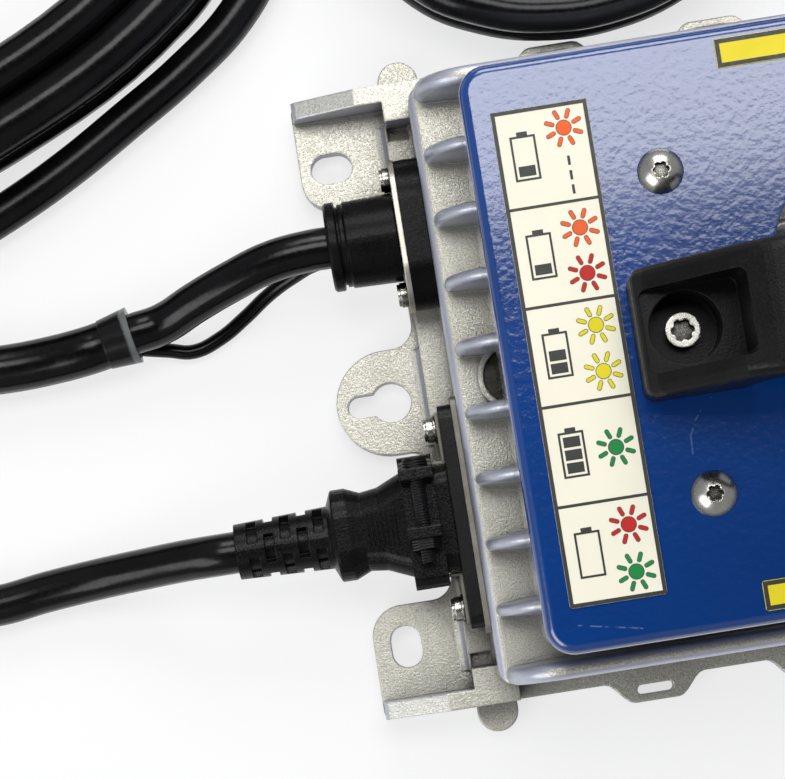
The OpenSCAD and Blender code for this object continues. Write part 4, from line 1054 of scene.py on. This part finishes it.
class Print:
    """Flat printed shapes: thin closed plates on a level face.

    Thickness is the height in metres of one layer, and the counts are the points of a round end and of a
    full circle.
    """

    THICKNESS = 0.00004
    END_POINTS = 7
    CIRCLE_POINTS = 28

    def __init__(self, name: str, level: float) -> None:
        """Starts an empty print.

        Args:
            name: Name of the piece.
            level: Height of the face in metres.
        """
        self.name = name
        self.level = level
        self.vertices: list[Array] = []
        self.faces: list[tuple[int, ...]] = []
        self.index: list[int] = []
        self.slots: list[str] = []
        self.count = 0

    def plate(self, outline: Array, finish: str, layer: int) -> None:
        """Adds a convex plate: its outline at two heights, joined by one wall for each side.

        Args:
            outline: Corners in millimetres, anticlockwise from above.
            finish: Name of its finish.
            layer: 0 for the lowest layer.
        """
        n = len(outline)
        low = self.level + layer * self.THICKNESS
        flat = np.asarray(outline, dtype=float) * MM
        lower = np.column_stack([flat, np.full(n, low)])
        upper = np.column_stack([flat, np.full(n, low + self.THICKNESS)])
        start = self.count
        ring = np.arange(n)
        after = (ring + 1) % n
        sides = np.stack([ring, after, after + n, ring + n], axis=1) + start
        self.vertices += [lower, upper]
        self.faces.append(tuple((ring[::-1] + start).tolist()))
        self.faces.append(tuple((ring + n + start).tolist()))
        self.faces += [tuple(row) for row in sides.tolist()]
        if finish not in self.slots:
            self.slots.append(finish)
        self.index += [self.slots.index(finish)] * (n + 2)
        self.count += 2 * n

    def box(self, x0: float, x1: float, y0: float, y1: float, finish: str, layer: int) -> None:
        """Adds a rectangle.

        Args:
            x0: Low X in millimetres.
            x1: High X.
            y0: Low Y.
            y1: High Y.
            finish: Name of its finish.
            layer: 0 for the lowest layer.
        """
        self.plate(np.array([(x0, y0), (x1, y0), (x1, y1), (x0, y1)]), finish, layer)

    def capsule(self, start: Array, end: Array, half: float, finish: str, layer: int) -> None:
        """Adds a bar with round ends: a half circle round each end of its middle line.

        Args:
            start: Centre of one end in millimetres.
            end: Centre of the other.
            half: Half its width.
            finish: Name of its finish.
            layer: 0 for the lowest layer.
        """
        heading = math.atan2(end[1] - start[1], end[0] - start[0])
        arc = heading - math.pi / 2 + np.linspace(0.0, math.pi, self.END_POINTS)
        cap = half * np.stack([np.cos(arc), np.sin(arc)], axis=1)
        self.plate(np.vstack([end + cap, start - cap]), finish, layer)

    def disc(self, x: float, y: float, radius: float, finish: str, layer: int) -> None:
        """Adds a round plate.

        Args:
            x: Centre's X in millimetres.
            y: Centre's Y.
            radius: Radius.
            finish: Name of its finish.
            layer: 0 for the lowest layer.
        """
        angle = np.linspace(0.0, 2 * np.pi, self.CIRCLE_POINTS, endpoint=False)
        outline = np.stack([x + radius * np.cos(angle), y + radius * np.sin(angle)], axis=1)
        self.plate(outline, finish, layer)

    def frame(self, x0: float, x1: float, y0: float, y1: float, line: float, finish: str, layer: int) -> None:
        """Adds a rectangular border.

        Args:
            x0: Low X in millimetres.
            x1: High X.
            y0: Low Y.
            y1: High Y.
            line: Width of the border.
            finish: Name of its finish.
            layer: 0 for the lowest layer.
        """
        self.box(x0, x1, y0, y0 + line, finish, layer)
        self.box(x0, x1, y1 - line, y1, finish, layer)
        self.box(x0, x0 + line, y0 + line, y1 - line, finish, layer)
        self.box(x1 - line, x1, y0 + line, y1 - line, finish, layer)

    def build(self, palette: Palette, slot: str) -> None:
        """Makes the piece.

        Args:
            palette: The materials.
            slot: The record's material slot; not used.
        """
        mesh = bpy.data.meshes.new(self.name)
        mesh.from_pydata(np.vstack(self.vertices).tolist(), [], self.faces)
        for finish in self.slots:
            mesh.materials.append(palette.materials[finish])
        mesh.polygons.foreach_set("material_index", np.array(self.index, dtype=np.int32))
        mesh.update()
        item = bpy.data.objects.new(self.name, mesh)
        bpy.context.scene.collection.objects.link(item)
        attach(item, "root")
        LOG.info("%s: %d plates", self.name, len(self.vertices) // 2)


@dataclass
class StatusLabel:
    """The printed status label: a row of cells with suns for the lamp's states and a gauge beside them.

    Sizes are in millimetres. Radii, reaches and half widths come in pairs: a dark outline and the colour
    over it, or the start and the end of a ray. Gauge levels say how many bars are filled, from the low end.
    """

    inset: float = 0.03
    border: float = 0.8
    line: float = 0.6
    sun_x: float = -78.4
    suns: tuple[tuple[float, str], ...] = (
        (44.6, "print_orange"), (24.1, "print_orange"), (14.8, "print_red"), (4.2, "print_yellow"),
        (-5.2, "print_yellow"), (-20.6, "print_green"), (-36.2, "print_red"), (-45.7, "print_green"),
    )
    sun_radii: Pair = (1.62, 1.48)
    ray_reach: Pair = (2.35, 3.6)
    ray_halves: Pair = (0.47, 0.35)
    rays: int = 8
    dashes: tuple[float, ...] = (37.9, 34.9, 32.0)
    dash_half: Pair = (0.28, 0.95)
    gauge_inset: float = 5.6
    gauge_half: Pair = (2.6, 4.6)
    gauge_line: float = 0.45
    gauge_cap: Pair = (1.1, 0.8)
    bar_half: float = 1.7
    bar_height: float = 2.1
    bar_step: float = 2.6
    bar_gap: float = 0.9
    gauge_levels: tuple[int, ...] = (0, 3, 2, 1, 1)

    def sun(self, sheet: Print, x: float, y: float, finish: str) -> None:
        """Adds a sun: a disc and its rays, each over a dark outline.

        Args:
            sheet: The print.
            x: Centre's X in millimetres.
            y: Centre's Y.
            finish: Colour of the sun.
        """
        inks = ("print_dark", finish)
        for layer in (0, 1):
            sheet.disc(x, y, self.sun_radii[layer], inks[layer], layer)
        for index in range(self.rays):
            angle = 2 * math.pi * (index + 0.5) / self.rays
            ahead = np.array([math.cos(angle), math.sin(angle)])
            start, end = (np.array([x, y]) + ahead * reach for reach in self.ray_reach)
            for layer in (0, 1):
                sheet.capsule(start, end, self.ray_halves[layer], inks[layer], layer)

    def gauge(self, sheet: Print, x: float, y: float, level: int) -> None:
        """Adds a battery gauge.

        Args:
            sheet: The print.
            x: Centre's X in millimetres.
            y: Centre's Y.
            level: How many of its three bars are filled.
        """
        across, tall = self.gauge_half
        cap, cap_height = self.gauge_cap
        sheet.frame(x - across, x + across, y - tall, y + tall, self.gauge_line, "print_dark", 0)
        sheet.box(x - cap, x + cap, y + tall, y + tall + cap_height, "print_dark", 0)
        for bar in range(level):
            low = y - tall + self.bar_gap + bar * self.bar_step
            sheet.box(x - self.bar_half, x + self.bar_half, low, low + self.bar_height, "print_dark", 0)

    def build(self, palette: Palette) -> None:
        """Prints the label on its CAD film.

        Args:
            palette: The materials.
        """
        low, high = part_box("status_label")
        x0, y0 = low[0] / MM + self.inset, low[1] / MM + self.inset
        x1, y1 = high[0] / MM - self.inset, high[1] / MM - self.inset
        half, dash, reach = self.line / 2, self.dash_half[0], self.dash_half[1]
        sheet = Print("status_print", high[2])
        sheet.frame(x0, x1, y0, y1, self.border, "print_dark", 0)
        cells = len(self.gauge_levels)
        step = (y1 - y0) / cells
        for cell in range(1, cells):
            y = y0 + cell * step
            sheet.box(x0 + self.border, x1 - self.border, y - half, y + half, "print_dark", 0)
        for y, finish in self.suns:
            self.sun(sheet, self.sun_x, y, finish)
        for y in self.dashes:
            sheet.box(self.sun_x - dash, self.sun_x + dash, y - reach, y + reach, "print_dark", 0)
        for cell, level in enumerate(self.gauge_levels):
            self.gauge(sheet, x0 + self.gauge_inset, y0 + (cell + 0.5) * step, level)
        sheet.build(palette, "label_cream")


@dataclass
class Stickers:
    """The two yellow strips, each with a dark border, in millimetres."""

    names: tuple[str, str] = ("rear_label", "front_label")
    inset: float = 0.1
    border: float = 0.9

    def build(self, palette: Palette) -> None:
        """Prints both borders.

        Args:
            palette: The materials.
        """
        for name in self.names:
            low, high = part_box(name)
            x0, y0 = low[0] / MM + self.inset, low[1] / MM + self.inset
            x1, y1 = high[0] / MM - self.inset, high[1] / MM - self.inset
            sheet = Print(f"{name}_print", high[2])
            sheet.frame(x0, x1, y0, y1, self.border, "print_dark", 0)
            sheet.build(palette, "label_yellow")


@dataclass(frozen=True)
class Lamp:
    """A soft rectangular light: its centre, aim and sides in metres, and its power in watts."""

    name: str
    place: Point
    aim: Point
    size: Pair
    power: float

    def build(self) -> None:
        """Adds the light, turned to face its aim."""
        data = bpy.data.lights.new(self.name, "AREA")
        data.shape = "RECTANGLE"
        data.size, data.size_y = self.size
        data.energy = self.power
        item = bpy.data.objects.new(self.name, data)
        item.location = self.place
        item.rotation_euler = (Vector(self.aim) - Vector(self.place)).to_track_quat("-Z", "Y").to_euler()
        bpy.context.scene.collection.objects.link(item)


@dataclass
class Studio:
    """Plain pale floor, dim surroundings and three soft lights: above, behind and at the connectors' side.

    The sky's strength goes from the first value to the second between two heights of the look direction.
    The floor's glow is the share of plain white in what is seen of it.
    """

    lamps: tuple[Lamp, ...] = (
        Lamp("key", (-0.02, 0.38, 1.15), (-0.02, 0.0, 0.06), (0.9, 0.42), 7.2),
        Lamp("rear", (0.10, 1.05, 0.75), (-0.05, 0.0, 0.04), (0.9, 0.5), 8.2),
        Lamp("side", (-0.9, -0.55, 0.8), (-0.1, 0.0, 0.03), (0.9, 0.6), 7.2),
    )
    sky_color: Color = (0.93, 0.95, 1.0)
    sky_heights: Pair = (0.80, 0.97)
    sky_strengths: Pair = (0.34, 0.04)
    floor_size: float = 6.0
    floor_level: float = -0.0006
    floor_color: Color = srgb(236, 236, 236)
    floor_glow: float = 0.7

    def floor(self) -> None:
        """Lays the floor: near white with a soft shadow where it is seen or mirrored, pale to the rest."""
        graph = Graph("studio_floor")
        graph.set(Base_Color=self.floor_color, Roughness=0.9)
        glow = graph.add("ShaderNodeEmission")
        glow.inputs["Color"].default_value = (1.0, 1.0, 1.0, 1.0)
        path = graph.add("ShaderNodeLightPath")
        seen = graph.math("MAXIMUM", path.outputs["Is Camera Ray"], path.outputs["Is Glossy Ray"])
        seen = graph.math("MAXIMUM", seen, path.outputs["Is Transmission Ray"])
        blend = graph.add("ShaderNodeMixShader")
        output = next(node for node in graph.tree.nodes if node.type == "OUTPUT_MATERIAL")
        graph.link(graph.math("MULTIPLY", seen, self.floor_glow), blend.inputs[0])
        graph.link(graph.shader.outputs[0], blend.inputs[1])
        graph.link(glow.outputs[0], blend.inputs[2])
        graph.link(blend.outputs[0], output.inputs[0])
        half, level = self.floor_size / 2, self.floor_level
        mesh = bpy.data.meshes.new("studio_floor")
        corners = [(-half, -half, level), (half, -half, level), (half, half, level), (-half, half, level)]
        mesh.from_pydata(corners, [], [(0, 1, 2, 3)])
        mesh.materials.append(graph.material)
        item = bpy.data.objects.new("studio_floor", mesh)
        bpy.context.scene.collection.objects.link(item)

    def sky(self) -> None:
        """Makes the surroundings: pale near the horizon and dim overhead."""
        world = bpy.data.worlds.new("surroundings")
        world.use_nodes = True
        tree = world.node_tree
        back = tree.nodes["Background"]
        back.inputs["Color"].default_value = (*self.sky_color, 1.0)
        split = tree.nodes.new("ShaderNodeSeparateXYZ")
        fade = tree.nodes.new("ShaderNodeMapRange")
        for index, value in enumerate((*self.sky_heights, *self.sky_strengths)):
            fade.inputs[index + 1].default_value = value
        tree.links.new(tree.nodes.new("ShaderNodeTexCoord").outputs["Generated"], split.inputs[0])
        tree.links.new(split.outputs["Z"], fade.inputs[0])
        tree.links.new(fade.outputs[0], back.inputs["Strength"])
        bpy.context.scene.world = world

    def build(self) -> None:
        """Makes the floor, the lights and the surroundings, and sets the plain view transform."""
        self.floor()
        for lamp in self.lamps:
            lamp.build()
        self.sky()
        bpy.context.scene.view_settings.view_transform = "Standard"


def main() -> None:
    """Builds the scene in order."""
    logging.basicConfig(level=logging.INFO, format="%(name)s: %(message)s")
    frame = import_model()
    View().build()
    palette = Palette()
    LOG.info("materials: %d", len(palette.materials))
    Cords().build(frame, palette)
    palette.dress(frame)
    StatusLabel().build(palette)
    Stickers().build(palette)
    Studio().build()


if __name__ == "__main__":
    main()
